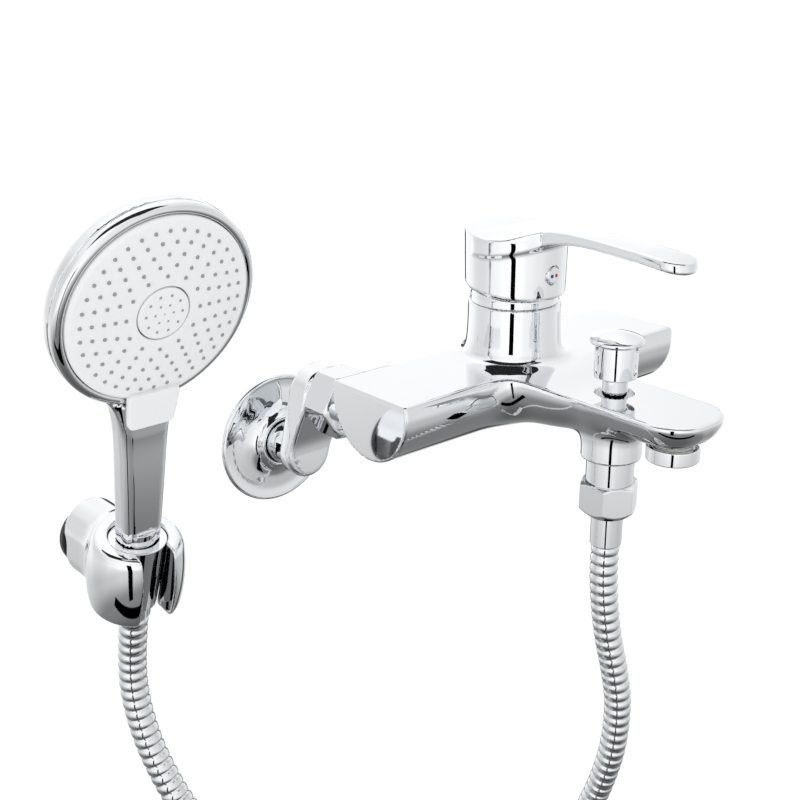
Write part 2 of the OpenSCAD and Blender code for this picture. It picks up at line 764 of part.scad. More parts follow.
// ---------------------------------------------------------------- hand shower
// Rounded-corner plate, the cross-section of the handle
module handle_plate(w, d, y, z) {
    translate([0, y, z]) for (sx = [-1, 1], sy = [-1, 1])
        translate([sx * (w / 2 - 3.5), sy * (d / 2 - 3.5), 0]) cylinder(r = 3.5, h = 0.5, $fn = 32);
}
module handset_shell() {
    color("silver") difference() {
        union() {
            at_handset() hull() {
                handle_plate(handle_width, handle_depth, 0, handle_foot);
                handle_plate(handle_width + 6, handle_depth - 0.5, 4, handle_head);
            }
            at_handset() bar(neck_thread_r, 19.5, handle_foot + 2);
            at_head() rotate_extrude() polygon([
                [0, back_z], [20, back_z + 0.8], [34, back_z + 3.8], [40, back_z + 7.4],
                [head_r - 0.8, back_z + 11.4], [head_r, back_z + 13], [head_r, -5.3],
                [head_r - 1.5, -5.3], [head_r - 1.5, -3.4], [0, -3.4]
            ]);
        }
        // hollow of the dome round a middle boss, shelf and face recess
        at_head() rotate_extrude() polygon([
            [9, back_z + 2.4], [19, back_z + 3.2], [32.5, back_z + 6], [36, back_z + 9],
            [36, shelf_z], [head_r - 6, shelf_z], [head_r - 6, -6], [face_r, -6],
            [face_r, 0], [0, 0], [0, -11.8], [9, -11.8]
        ]);
        // room for the rim ring
        at_head() bar(head_r + loose, -3.4, 12);
        at_head() tube(head_r + loose, head_r - 1.5, -5.3, -3);
        at_head() bar(5.3, -17, -11);
        // water way: limiter seat, tube bore and the passage into the hollow dome
        at_handset() bar(6.5, 19, tube_foot - 0.2);
        at_tube() bar(3.3, -1, tube_length);
        at_handset() translate([0, tube_shift, tube_rise - 0.5]) rotate([-13.5, 0, 0]) bar(2.6, 0, 15);
    }
}
module water_tube() {
    color("gainsboro") at_tube() tube(3.2, 2.2, 0, tube_length - 0.3);
}
module spray_distributor() {
    color("dimgray") at_head() difference() {
        union() {
            bar(head_r - 6.2, -9.7, -7.3);
            bar(5, -15, -9);
        }
        bar(2, -20, -5);
        for (ring = [[8, 14], [8, 26]]) for (k = [0:ring[0] - 1]) rotate(360 * k / ring[0])
            translate([ring[1], 0, -10]) cylinder(r = 1.6, h = 5, $fn = 24);
    }
}
module distributor_seal() {
    color("black") at_head() tube(head_r - 6.2, head_r - 9, -7.3, -5.3);
}
module rim_ring() {
    color("silver") at_head() rotate_extrude() polygon([
        [head_r - 1.4, -5.2], [head_r, -5.2], [head_r, -2], [head_r - 1, -0.6], [head_r - 2.6, -0.2],
        [face_r + gap, -0.2], [face_r + gap, -3.3], [head_r - 1.4, -3.3]
    ]);
}
// Repeats its children at each nozzle of the spray face
module at_nozzles() {
    for (ring = nozzle_rings, k = [0:ring[0] - 1]) rotate(360 * k / ring[0])
        translate([ring[1], 0, 0]) children();
}
// Spray face: slightly domed disc with the selector tab at its lower edge
module spray_face() {
    color("white") at_head() {
        difference() {
            rotate_extrude() polygon([
                [11.7, -3], [face_r, -3], [face_r, 0.2], [face_r - 1, 0.9], [face_r - 12, 2.2], [14, 3.1],
                [11.7, 3.2]
            ]);
            at_nozzles() bar(0.85, -4, 5);
        }
        translate([0, 0, 0.4]) linear_extrude(3) polygon([
            [-11.5, 3 - face_r], [11.5, 3 - face_r], [10.5, -face_r - 10], [9.6, -face_r - 12.2],
            [7.6, -face_r - 13], [-7.6, -face_r - 13], [-9.6, -face_r - 12.2], [-10.5, -face_r - 10]
        ]);
    }
}
module nozzle_mat() {
    color("lightgray") at_head() {
        tube(face_r - 1, 12, -5, -3);
        at_nozzles() bar(0.7, -3 - EPS, 3.6);
    }
}
module centre_disc() {
    color("white") at_head() difference() {
        bar(11.5, -5, 3.6);
        for (ring = [[8, 4.7], [12, 8.7]]) for (k = [0:ring[0] - 1]) rotate(360 * k / ring[0])
            translate([ring[1], 0, -6]) cylinder(r = 0.7, h = 11, $fn = 16);
    }
}
module face_screw() {
    color("lightgray") at_head() {
        bar(1.9, -14.9, -7.3);
        bar(3.4, -7.3, -5.3);
    }
}

// ---------------------------------------------------------------- wall holder
module holder_body() {
    color("silver") difference() {
        hull() {
            at_cup() {
                bar(holder_r - 3.5, -holder_height / 2, holder_height / 2);
                bar(holder_r, 6 - holder_height / 2, holder_height / 2 - 6);
            }
            from_wall(holder_x, holder_z + 2) bar(15, 3, 6, $fn = 48);
        }
        at_handset() cylinder(r1 = cone_low_r + loose, r2 = cone_high_r + loose, h = cone_length);
        at_handset() bar(cone_low_r + loose, -20, 1);
        at_handset() bar(cone_high_r + loose, cone_length - EPS, cone_length + 20);
        at_handset() translate([-7.5, -40, -20]) cube([15, 40, cone_length + 40]);
        from_wall(holder_x, holder_z + 2) bar(11, 2, 9);
        translate([holder_x, -6.5, holder_z - 20]) bar(1.6, 0, 12);
    }
}
module holder_plate() {
    color("gray") difference() {
        from_wall(holder_x, holder_z + 2) union() {
            bar(14.5, 0, 2.7);
            bar(10.8, 2, 8.4);
        }
        for (s = [-1, 1]) from_wall(holder_x + s * 6, holder_z + 2) {
            bar(2.2, -1, 10);
            bar(3.9, 5.5, 10);
        }
    }
}
module holder_lock_screw() {
    color("dimgray") translate([holder_x, -6.5, holder_z - 14]) bar(1.5, 0, 5);
}

wall_flange_left();
wall_flange_right();
flange_seals();
eccentric_left();
eccentric_right();
inlet_strainers();
inlet_washers();
coupling_nut_left();
coupling_nut_right();
body_casting();
cartridge_housing();
cartridge_seals();
fixed_disc();
moving_disc();
disc_carrier();
cartridge_rotor();
spindle_pin();
spindle();
cartridge_nut();
collar_ring();
lever_handle();
grub_screw();
index_plug();
diverter_bush();
bush_seal();
diverter_stem();
stem_seal();
diverter_disc();
diverter_spring();
diverter_knob();
aerator_housing();
aerator_insert();
aerator_washer();
outlet_nipple();
check_valve();
hose_washer_mixer();
hose_nut();
hose_ferrule();
hose_run_mixer();
hose_coil();
hose_tie();
hose_run_handset();
hose_end_handset();
cone_nut();
hose_washer_handset();
flow_limiter();
handset_shell();
water_tube();
spray_distributor();
distributor_seal();
rim_ring();
spray_face();
nozzle_mat();
centre_disc();
face_screw();
holder_body();
holder_plate();
holder_lock_screw();
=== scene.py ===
# %% [markdown]
# A wall-mounted bath faucet: mixer body, lever, diverter, hose, hand shower and wall holder.
# The solid model comes in as a fixed frame. Around it this file makes the smooth chrome
# surfaces, the ribbed hose and the white spray face that the plain solids stand for.
# %% Load the frame
import bpy
import json
import math
import numpy as np
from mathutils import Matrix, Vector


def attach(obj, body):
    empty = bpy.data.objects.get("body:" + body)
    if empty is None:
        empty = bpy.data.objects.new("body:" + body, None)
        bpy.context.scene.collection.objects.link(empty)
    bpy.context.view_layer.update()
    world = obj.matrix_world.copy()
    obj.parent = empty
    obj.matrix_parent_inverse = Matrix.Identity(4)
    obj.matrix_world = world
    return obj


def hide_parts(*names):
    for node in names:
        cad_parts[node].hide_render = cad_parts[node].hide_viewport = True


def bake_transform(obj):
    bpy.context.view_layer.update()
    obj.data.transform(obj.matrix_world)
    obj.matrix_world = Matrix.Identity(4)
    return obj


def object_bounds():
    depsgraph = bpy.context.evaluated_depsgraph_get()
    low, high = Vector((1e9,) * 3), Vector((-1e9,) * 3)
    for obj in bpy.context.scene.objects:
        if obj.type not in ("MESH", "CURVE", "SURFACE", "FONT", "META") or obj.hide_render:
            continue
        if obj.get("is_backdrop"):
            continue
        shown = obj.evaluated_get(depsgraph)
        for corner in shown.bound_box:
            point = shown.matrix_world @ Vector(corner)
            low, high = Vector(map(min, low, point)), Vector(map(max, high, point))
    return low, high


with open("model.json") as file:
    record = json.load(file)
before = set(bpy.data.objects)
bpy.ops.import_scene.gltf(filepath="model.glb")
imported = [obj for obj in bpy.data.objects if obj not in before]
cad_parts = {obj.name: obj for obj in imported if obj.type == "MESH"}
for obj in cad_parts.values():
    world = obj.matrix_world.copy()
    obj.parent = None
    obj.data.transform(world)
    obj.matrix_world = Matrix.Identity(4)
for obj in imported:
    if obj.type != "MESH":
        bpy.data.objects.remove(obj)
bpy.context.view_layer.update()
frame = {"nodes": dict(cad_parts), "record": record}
MM = 0.001

# %% [markdown]
# The camera stands left of the faucet and a little above it, and looks down on it. A lens of
# moderate length keeps the long spout from looking stretched.
# %% Camera
camera = bpy.data.objects.new("camera", bpy.data.cameras.new("camera"))
bpy.context.collection.objects.link(camera)
camera.location = (-0.42486, -0.49934, 0.24148)
camera.rotation_euler = (math.radians(69.88), 0, math.radians(-40.93))
camera.data.lens = 58.6
camera.data.sensor_width = 36
camera.data.clip_start = 0.01
bpy.context.scene.camera = camera
print("camera", tuple(round(c, 3) for c in camera.location))

# %% [markdown]
# Colours are written as sRGB hex values, the way a paint chart gives them, and one function
# turns them into the linear values that the shader works in. One more adds any shader node.
# %% Colour and node helpers
def linear(code):
    """Linear red, green, blue and alpha from sRGB hex: c / 12.92 up to 0.04045, and
    ((c + 0.055) / 1.055) ^ 2.4 above it."""
    parts = [int(code[i:i + 2], 16) / 255 for i in (1, 3, 5)]
    return [c / 12.92 if c <= 0.04045 else ((c + 0.055) / 1.055) ** 2.4 for c in parts] + [1]

def add(tree, kind, settings=(), links=()):
    """Adds one node, sets its properties and sockets, and links its inputs from (socket, output) pairs."""
    node = tree.nodes.new(kind)
    for key, value in dict(settings).items():
        if isinstance(key, str) and hasattr(node, key):
            setattr(node, key, value)
        else:
            node.inputs[key].default_value = value
    for key, output in dict(links).items():
        tree.links.new(output, node.inputs[key])
    return node

print("mid grey is", round(linear("#808080")[0], 3), "in linear light")

# %% [markdown]
# No real surface is perfectly even. A cloudy noise, as wide as the finish's own grain, moves the
# colour by a few per cent and the roughness between two values, and on moulded and turned parts it
# raises a bump of up to three hundredths of a millimetre. The noise is read on Object coordinates, so
# it stays in place on the piece when the piece moves. The grain of plastic and bare metal is in truth
# finer than the few tenths of a millimetre given below, and is drawn that coarse so that it can show.
# %% One function for every finish
UNEVEN = 0.965

def finish_of(name, colour, metallic=0.0, rough=(0.3, 0.35), bump=0.0, grain_mm=1.0):
    """Base colour from UNEVEN times the colour up to the colour itself, roughness between the two
    values of rough, and a bump in millimetres, all by one noise whose grain is grain_mm wide."""
    material = bpy.data.materials.new(name)
    material.use_nodes = True
    tree = material.node_tree
    shader = tree.nodes["Principled BSDF"]
    place = add(tree, "ShaderNodeTexCoord")
    noise = add(tree, "ShaderNodeTexNoise", {"Scale": 1 / (grain_mm * MM), "Detail": 3.0},
                {"Vector": place.outputs["Object"]})
    shade = add(tree, "ShaderNodeMix", {"data_type": "RGBA"}, {0: noise.outputs["Fac"]})
    base = linear(colour)
    shade.inputs[6].default_value = [c * UNEVEN for c in base[:3]] + [1]
    shade.inputs[7].default_value = base
    tree.links.new(shade.outputs[2], shader.inputs["Base Color"])
    spread = add(tree, "ShaderNodeMapRange", {"To Min": rough[0], "To Max": rough[1]},
                 {"Value": noise.outputs["Fac"]})
    tree.links.new(spread.outputs["Result"], shader.inputs["Roughness"])
    if bump:
        relief = add(tree, "ShaderNodeBump", {"Strength": 1.0, "Distance": bump * MM},
                     {"Height": noise.outputs["Fac"]})
        tree.links.new(relief.outputs["Normal"], shader.inputs["Normal"])
    shader.inputs["Metallic"].default_value = metallic
    return material

print("a finish takes a colour, a roughness, a bump and a grain")

# %% [markdown]
# Bright chrome on brass is a mirror: what the eye sees is the room in it. So its colour is a
# neutral light grey, its roughness is very low, and only a faint cloudiness from wiping shows.
# Chromed plastic is the same mirror, a touch softer, and the hose is plated strip steel.
# %% Chrome finishes
# polished before plating, so it mirrors sharply, with wiping marks as wide as a finger
chrome_brass = finish_of("chrome_plated_brass", "#EEF0F2", 1.0, (0.02, 0.05), grain_mm=25)
# plated over moulded plastic: the same mirror, very slightly softer
chrome_abs = finish_of("chrome_plated_abs", "#ECEEF0", 1.0, (0.025, 0.06), grain_mm=20)
# rolled strip keeps some of its rolling marks, which dull each rib a little
chrome_strip = finish_of("chrome_plated_strip_steel", "#E6E8EA", 1.0, (0.05, 0.1), grain_mm=4)
# turned and left bare: a satin grey shine
steel = finish_of("turned_stainless_steel", "#C9CBCD", 1.0, (0.18, 0.3), bump=0.01, grain_mm=0.5)
# turned and left bare: a satin yellow shine, seen inside and under the tilted cap
brass = finish_of("turned_brass", "#C9A45A", 1.0, (0.2, 0.32), bump=0.01, grain_mm=0.5)
print("chrome and metal finishes made")

# %% [markdown]
# The white parts are glossy moulded ABS, the nozzles soft grey silicone, the inner parts moulded
# engineering plastic, ground ceramic and black rubber.
# %% Plastic, rubber and ceramic finishes
# moulded in a polished tool: white with a clear soft highlight
white_abs = finish_of("moulded_white_abs", "#F1F2F3", 0.0, (0.22, 0.3), bump=0.004, grain_mm=0.7)
# soft and matt, a mid grey that reads as a dot on the white plate
silicone = finish_of("moulded_grey_silicone", "#9A9C9F", 0.0, (0.45, 0.55), bump=0.01, grain_mm=0.4)
# moulded rubber and the coil's tie: black and nearly without shine
black_rubber = finish_of("moulded_epdm_rubber", "#1B1B1C", 0.0, (0.55, 0.7), bump=0.01, grain_mm=0.3)
# pressed fibre of the washers: dull red brown
red_fibre = finish_of("pressed_fibre", "#7A2A1E", 0.0, (0.7, 0.85), bump=0.03, grain_mm=0.4)
# ground and lapped: cream white and smooth
ceramic = finish_of("ground_alumina", "#EFEBDD", 0.0, (0.12, 0.2), grain_mm=0.5)
# moulded cartridge and valve parts: a waxy sheen in three colours
pale_plastic = finish_of("moulded_pom", "#E6E5DF", 0.0, (0.4, 0.5), bump=0.01, grain_mm=0.5)
dark_plastic = finish_of("moulded_black_pom", "#232427", 0.0, (0.4, 0.5), bump=0.01, grain_mm=0.5)
blue_plastic = finish_of("moulded_blue_pom", "#1F4F9A", 0.0, (0.35, 0.45), bump=0.01, grain_mm=0.5)
# the two dots are printed enamel: even colour and a soft gloss
dot_blue = finish_of("printed_blue_enamel", "#1B2FA0", 0.0, (0.3, 0.35), grain_mm=0.3)
dot_red = finish_of("printed_red_enamel", "#B5222A", 0.0, (0.3, 0.35), grain_mm=0.3)
print("plastic, rubber and ceramic finishes made")

# %% [markdown]
# Each solid names the kind of surface it has, its slot. A table says which finish that is. The solid
# meshes get their finish here, and the new pieces get theirs as they are made.
# %% Finishes on the solids
FINISH = {
    "chrome_body": chrome_brass, "chrome_plastic": chrome_abs, "hose_steel": chrome_strip,
    "stainless": steel, "brass_plain": brass, "disc_ceramic": ceramic, "black_rubber": black_rubber,
    "red_fibre": red_fibre, "white_plastic": white_abs, "nozzle_silicone": silicone,
    "cartridge_plastic": pale_plastic, "dark_plastic": dark_plastic, "valve_plastic": blue_plastic,
    "index_plastic": chrome_abs, "tie_plastic": black_rubber,
}
for part in frame["record"]["subparts"]:
    mesh = frame["nodes"][part["node"]].data
    mesh.materials.clear()
    mesh.materials.append(FINISH[part["material_slot"]])

# %% [markdown]
# Every new piece goes through one function. It fills the mesh from whole arrays, turns it the right
# way out by the sign of its volume, sets exact normals where the formula knows them, parents it to
# the empty of the body it moves with, hides the solids it stands for and gives it its finish. The
# hose names no body here, because it runs between two.
# %% Put a piece into the scene
def put(name, points, faces, body, slot, stands_for=(), normals=None, finish=None):
    """Points in millimetres (n x 3) and faces as corner numbers (triangles or quads). The volume is
    the sum over all triangles of a . (b x c), six times the real one; below zero means inside out."""
    points = np.asarray(points, float) * MM
    faces = np.asarray(faces)
    a, b, c = (points[faces[:, i]] for i in range(3))
    volume = np.einsum("ij,ij->i", a, np.cross(b, c)).sum()
    if faces.shape[1] == 4:
        d = points[faces[:, 3]]
        volume += np.einsum("ij,ij->i", a, np.cross(c, d)).sum()
    if volume < 0:
        faces = faces[:, ::-1]
    mesh = bpy.data.meshes.new(name)
    mesh.vertices.add(len(points))
    mesh.vertices.foreach_set("co", points.astype(np.float32).ravel())
    mesh.loops.add(faces.size)
    mesh.loops.foreach_set("vertex_index", faces.astype(np.int32).ravel())
    mesh.polygons.add(len(faces))
    mesh.polygons.foreach_set("loop_start", np.arange(0, faces.size, faces.shape[1], dtype=np.int32))
    mesh.polygons.foreach_set("use_smooth", np.ones(len(faces), bool))
    mesh.update(calc_edges=True)
    mesh.validate()
    if normals is not None:
        mesh.normals_split_custom_set_from_vertices(normals.astype(np.float32))
    mesh.materials.append(finish or FINISH[slot])
    piece = bpy.data.objects.new(name, mesh)
    bpy.context.collection.objects.link(piece)
    if body:
        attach(piece, body)
    if stands_for:
        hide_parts(*stands_for)
    print(name, "has", len(faces), "faces")
    return piece

print("one unit of the scene is", round(1 / MM), "millimetres")

# %% [markdown]
# The metal hose is one flexible thing of a fixed length. It leaves the ferrule under the mixer, bows
# out as stiff metal hose does, is wound into a coil of two and a half turns out of sight below, and
# comes up to the hand shower. Its route is a list of points for the free stretches and a loop for
# the coil; a smooth curve goes through them all. The points are in millimetres.
# %% Hose route
MIXER_ROUTE = [
    (0, -153.5, -26), (0, -153.5, -40), (1, -154, -55), (4, -155, -75), (8, -157, -95),
    (11, -158, -115), (12, -156, -140), (12, -150, -165), (12, -141, -190), (12, -132, -215),
    (11.5, -124, -240), (11.5, -119.5, -265),
]
HANDSET_ROUTE = [
    (-180, -37.1, -44.8), (-180, -34.5, -57), (-180, -32.2, -70), (-180, -31.5, -84),
    (-179, -33, -100), (-176, -37.5, -120), (-170, -46, -143), (-160, -57, -168),
    (-149, -68, -195), (-139, -77, -220), (-133, -84, -245), (-131.5, -86.5, -265),
]
HOSE_D = 13.0
COIL_MIDDLE = (-60, -265)
COIL_R = 71.5
COIL_TURNS = 2.5
RIB_PITCH = 5.0
RIB_STEPS = 6
SPAN_STEPS = 12

def coil_points(per_turn=24):
    """Points of the coil: x = middle + R cos a, z = middle - R sin a, and y runs evenly from the end
    of the one free stretch to the end of the other."""
    share = np.arange(1, int(COIL_TURNS * per_turn)) / (COIL_TURNS * per_turn)
    angle = share * COIL_TURNS * 2 * np.pi
    y = MIXER_ROUTE[-1][1] + share * (HANDSET_ROUTE[-1][1] - MIXER_ROUTE[-1][1])
    return np.stack([COIL_MIDDLE[0] + COIL_R * np.cos(angle), y,
                     COIL_MIDDLE[1] - COIL_R * np.sin(angle)], 1)

def smooth_path(points, step):
    """A Catmull-Rom curve through the points, sampled about every step millimetres, and its length.
    Each span is a cubic whose slope at an end is half the chord between that end's two neighbours."""
    p = np.asarray(points, float)
    p = np.vstack([2 * p[0] - p[1], p, 2 * p[-1] - p[-2]])
    t = np.linspace(0, 1, SPAN_STEPS, endpoint=False)[:, None]
    spans = []
    for a, b, c, d in zip(p[:-3], p[1:-2], p[2:-1], p[3:]):
        spans.append(0.5 * (2 * b + (c - a) * t + (2 * a - 5 * b + 4 * c - d) * t ** 2
                            + (3 * b - a - 3 * c + d) * t ** 3))
    fine = np.vstack(spans + [p[-2:-1]])
    run = np.concatenate([[0], np.cumsum(np.linalg.norm(np.diff(fine, axis=0), axis=1))])
    count = int(round(run[-1] / step))
    at = np.linspace(0, run[-1], count + 1)
    return np.stack([np.interp(at, run, fine[:, i]) for i in range(3)], 1), run[-1]

hose_points = np.vstack([MIXER_ROUTE, coil_points(), HANDSET_ROUTE[::-1]])
hose_line, hose_length = smooth_path(hose_points, RIB_PITCH / RIB_STEPS)
print("hose length in millimetres", round(hose_length))

# %% [markdown]
# The hose is wound from a strip whose edges lock, so it shows a rounded rib every few millimetres
# with a narrow dark groove between. A ring of points is carried along the route, and its radius
# swells and dips once per rib. The rings are turned as little as possible from one to the next.
# %% Ribbed hose
def carried_ring(line, radius, sides):
    """Rings along a line: point = line + r(s) (cos a . side + sin a . other). Both directions are
    square to the line. Each side is the one before it with its share along the line taken away, so
    the rings never twist."""
    tangent = np.gradient(line, axis=0)
    tangent /= np.linalg.norm(tangent, axis=1)[:, None]
    side = np.zeros_like(line)
    side[0] = np.cross(tangent[0], (0, 1, 0))
    for i in range(1, len(line)):
        side[i] = side[i - 1] - tangent[i] * (side[i - 1] @ tangent[i])
        side[i] /= np.linalg.norm(side[i])
    side[0] /= np.linalg.norm(side[0])
    other = np.cross(tangent, side)
    a = np.arange(sides) * 2 * np.pi / sides
    ring = np.cos(a)[None, :, None] * side[:, None] + np.sin(a)[None, :, None] * other[:, None]
    return line[:, None] + radius[:, None, None] * ring

def tube_faces(rings, sides):
    """Quads between neighbouring rings, each ring wrapped round: corners k and k + 1 of ring i, then
    the same two of ring i + 1."""
    i, k = np.meshgrid(np.arange(rings - 1), np.arange(sides), indexing="ij")
    j = (k + 1) % sides
    quads = np.stack([i * sides + k, i * sides + j, (i + 1) * sides + j, (i + 1) * sides + k], -1)
    return quads.reshape(-1, 4)

def halved(quads):
    """Two triangles from each quad, so that they can share a mesh with other triangles."""
    return np.vstack([quads[:, [0, 1, 2]], quads[:, [0, 2, 3]]])

def fan(ring, middle):
    """Triangles that close a ring of corner numbers onto one middle point."""
    return np.stack([ring, np.roll(ring, -1), np.full(len(ring), middle)], 1)

RIB_SWELL, GROOVE_DEPTH = 0.25, 0.85

def hose(sides=22):
    """Radius: R - swell (1 - sqrt(1 - 0.75 c^2)) - depth c^12, where c = |cos(pi s / pitch)|. The first
    part rounds each rib, and the high power keeps the groove narrow."""
    s = np.arange(len(hose_line)) / RIB_STEPS
    rib = np.abs(np.cos(np.pi * s))
    radius = HOSE_D / 2 - RIB_SWELL * (1 - np.sqrt(1 - 0.75 * rib ** 2)) - GROOVE_DEPTH * rib ** 12
    points = carried_ring(hose_line, radius, sides).reshape(-1, 3)
    triangles = halved(tube_faces(len(hose_line), sides))
    last = (len(hose_line) - 1) * sides + np.arange(sides)
    ends = np.vstack([fan(np.arange(sides)[::-1], len(points)), fan(last, len(points) + 1)])
    points = np.vstack([points, hose_line[:1], hose_line[-1:]])
    return put("metal_hose", points, np.vstack([triangles, ends]), None, "hose_steel",
               ["hose_run_mixer", "hose_coil", "hose_run_handset"])

metal_hose = hose()
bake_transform(metal_hose)
print("ribs along the hose", round(hose_length / RIB_PITCH))

# %% [markdown]
# The pieces sit at a handful of places: over the cartridge, on the lever's pivot, at the diverter,
# under the spout and in the leaning holder. A place is a turn and a shift, so that each piece can be
# drawn upright round its own axis. The numbers are the real part's main sizes in millimetres.
# %% Places
def tilted(degrees, origin):
    """A place: a turn about X by so many degrees, then a move to the origin, in millimetres."""
    a = math.radians(degrees)
    turn = np.array([[1, 0, 0], [0, math.cos(a), -math.sin(a)], [0, math.sin(a), math.cos(a)]])
    return turn, np.asarray(origin, float)

def shifted(place, local):
    """The same turn, with the origin moved by a step along the place's own axes."""
    return place[0], place[1] + place[0] @ np.asarray(local, float)

# From the wall to the body's middle, to the shower outlet and to the aerator.
REACH, OUTLET_REACH, AERATOR_REACH = 91.0, 153.5, 187.0
PIVOT_Z, TILT = 72.0, 6.5
LEAN, HEAD_TILT = 12.0, 5.0
CUP_MIDDLE, CONE_DROP = (-180, -42, -22), 17
HEAD_Y, HEAD_Z = -8, 146
RISER = tilted(0, (0, -REACH, 0))
LEVER = tilted(TILT, (0, -REACH, PIVOT_Z))
DIVERTER = tilted(0, (0, -OUTLET_REACH, 0))
AERATOR = tilted(0, (0, -AERATOR_REACH, 0))
CUP = tilted(LEAN, CUP_MIDDLE)
HANDSET = shifted(CUP, (0, 0, -CONE_DROP))
HEAD = tilted(90 + LEAN + HEAD_TILT, shifted(HANDSET, (0, HEAD_Y, HEAD_Z))[1])

def from_wall(x, z):
    """A place on the wall whose +Z points into the room."""
    return tilted(90, (x, 0, z))

print("middle of the hand shower's head, millimetres", HEAD[1].round(1).tolist())

# %% [markdown]
# Most chrome parts here are turned on a lathe: one outline goes round an axis. The outline is a few
# corners, each rounded by a small curve, because a real edge always has a radius and that radius is
# what catches the light. The normals come from the outline, so the mirror stays exact.
# %% Turned pieces
def softened(corners, fillet, closed, steps=5):
    """Rounds each corner by (1 - t)^2 a + 2 t (1 - t) corner + t^2 b, where a and b lie one fillet
    away from the corner along its two sides, or less where a side is short."""
    c = np.asarray(corners, float)
    before, after = np.roll(c, 1, 0) - c, np.roll(c, -1, 0) - c
    out = []
    t = np.linspace(0, 1, steps)[:, None]
    for i, (point, back, ahead) in enumerate(zip(c, before, after)):
        if not closed and i in (0, len(c) - 1):
            out.append(point[None])
            continue
        lb, la = np.linalg.norm(back), np.linalg.norm(ahead)
        a = point + back / lb * min(fillet, 0.45 * lb)
        b = point + ahead / la * min(fillet, 0.45 * la)
        out.append((1 - t) ** 2 * a + 2 * t * (1 - t) * point + t ** 2 * b)
    return np.vstack(out)

def turned(name, place, corners, body, slot, stands_for=(), fillet=0.5, sides=96, finish=None):
    """An outline of (radius, height) corners turned round the place's Z: x = r cos a, y = r sin a,
    z = h. Its normal is the outline's own direction turned square. An outline that starts and ends on
    the axis is closed by its poles, any other is a ring."""
    poles = corners[0][0] == 0 and corners[-1][0] == 0
    line = softened(corners, fillet, not poles)
    slope = (np.gradient(line, axis=0) if poles
             else np.roll(line, -1, 0) - np.roll(line, 1, 0))
    slope /= np.linalg.norm(slope, axis=1)[:, None] + 1e-12
    square = np.stack([slope[:, 1], -slope[:, 0]], 1)
    area = (line[:, 0] * np.roll(line[:, 1], -1) - np.roll(line[:, 0], -1) * line[:, 1]).sum()
    square *= np.sign(area) or 1
    a = np.arange(sides) * 2 * np.pi / sides
    cos, sin = np.cos(a)[None], np.sin(a)[None]
    body_line, body_square = (line[1:-1], square[1:-1]) if poles else (line, square)
    n = len(body_line)
    ring = np.stack([body_line[:, :1] * cos, body_line[:, :1] * sin,
                     np.repeat(body_line[:, 1:], sides, 1)], -1).reshape(-1, 3)
    facing = np.stack([body_square[:, :1] * cos, body_square[:, :1] * sin,
                       np.repeat(body_square[:, 1:], sides, 1)], -1).reshape(-1, 3)
    if poles:
        end = np.arange((n - 1) * sides, n * sides)
        faces = np.vstack([halved(tube_faces(n, sides)), fan(np.arange(sides)[::-1], len(ring)),
                           fan(end, len(ring) + 1)])
        ring = np.vstack([ring, [[0, 0, line[0, 1]], [0, 0, line[-1, 1]]]])
        up = 1.0 if line[-1, 1] > line[0, 1] else -1.0
        facing = np.vstack([facing, [[0, 0, -up], [0, 0, up]]])
    else:
        faces = tube_faces(n + 1, sides) % (n * sides)
    turn, origin = place
    return put(name, ring @ turn.T + origin, faces, body, slot, stands_for, facing @ turn.T, finish)

print("a square outline softened by 1 mm has",
      len(softened([(0, 0), (9, 0), (9, 9), (0, 9)], 1.0, True)), "points")

# %% [markdown]
# Cast and moulded shapes flow into each other. They are written as a field: a number at every point
# of space that is negative inside the metal, positive outside and zero on its skin. Two fields join
# with a soft minimum, which leaves a fillet, and are cut with a soft maximum, which leaves a rounded
# edge.
# %% Fields
def join(a, b, k=0.0):
    """Soft minimum: min(a, b) - h^3 k / 6, where h = max(k - |a - b|, 0) / k."""
    if not k:
        return np.minimum(a, b)
    h = np.maximum(k - np.abs(a - b), 0) / k
    return np.minimum(a, b) - h ** 3 * k / 6

def cut(a, b, k=0.0):
    """Soft maximum of two fields: what lies inside both."""
    return -join(-a, -b, k)

def column(x, y, r):
    """Distance from a round bar along the third axis."""
    return np.hypot(x, y) - r

def ease(a, b, u):
    """Smooth step from 0 at a to 1 at b: 3 t^2 - 2 t^3."""
    t = np.clip((u - a) / (b - a), 0, 1)
    return t * t * (3 - 2 * t)

fillet_depth = -float(join(np.zeros(1), np.zeros(1), 2.0)[0])
print("a 2 mm fillet adds", round(fillet_depth, 2), "mm where two skins meet")

# %% [markdown]
# The skin of a field is found on a grid of small cells. Each cell that the skin crosses gets one
# point, and the four cells round a crossed grid edge are joined by a quad. Then each point is slid
# along the field's slope until it lies on the skin exactly. The slope is also the normal, so the
# chrome mirrors as if the surface had no facets.
# %% Skin of a field
SLOPE_REACH = 0.02
SLIDES, LONGEST_SLIDE, LEAST_SLOPE = 4, 0.4, 0.05

def gradient(field, points, e=SLOPE_REACH):
    """Slope of the field at each point, (f(x + e) - f(x - e)) / 2 e along each axis, and its value."""
    x, y, z = points.T
    slope = np.stack([field(x + e, y, z) - field(x - e, y, z), field(x, y + e, z) - field(x, y - e, z),
                      field(x, y, z + e) - field(x, y, z - e)], 1) / (2 * e)
    return slope, field(x, y, z)

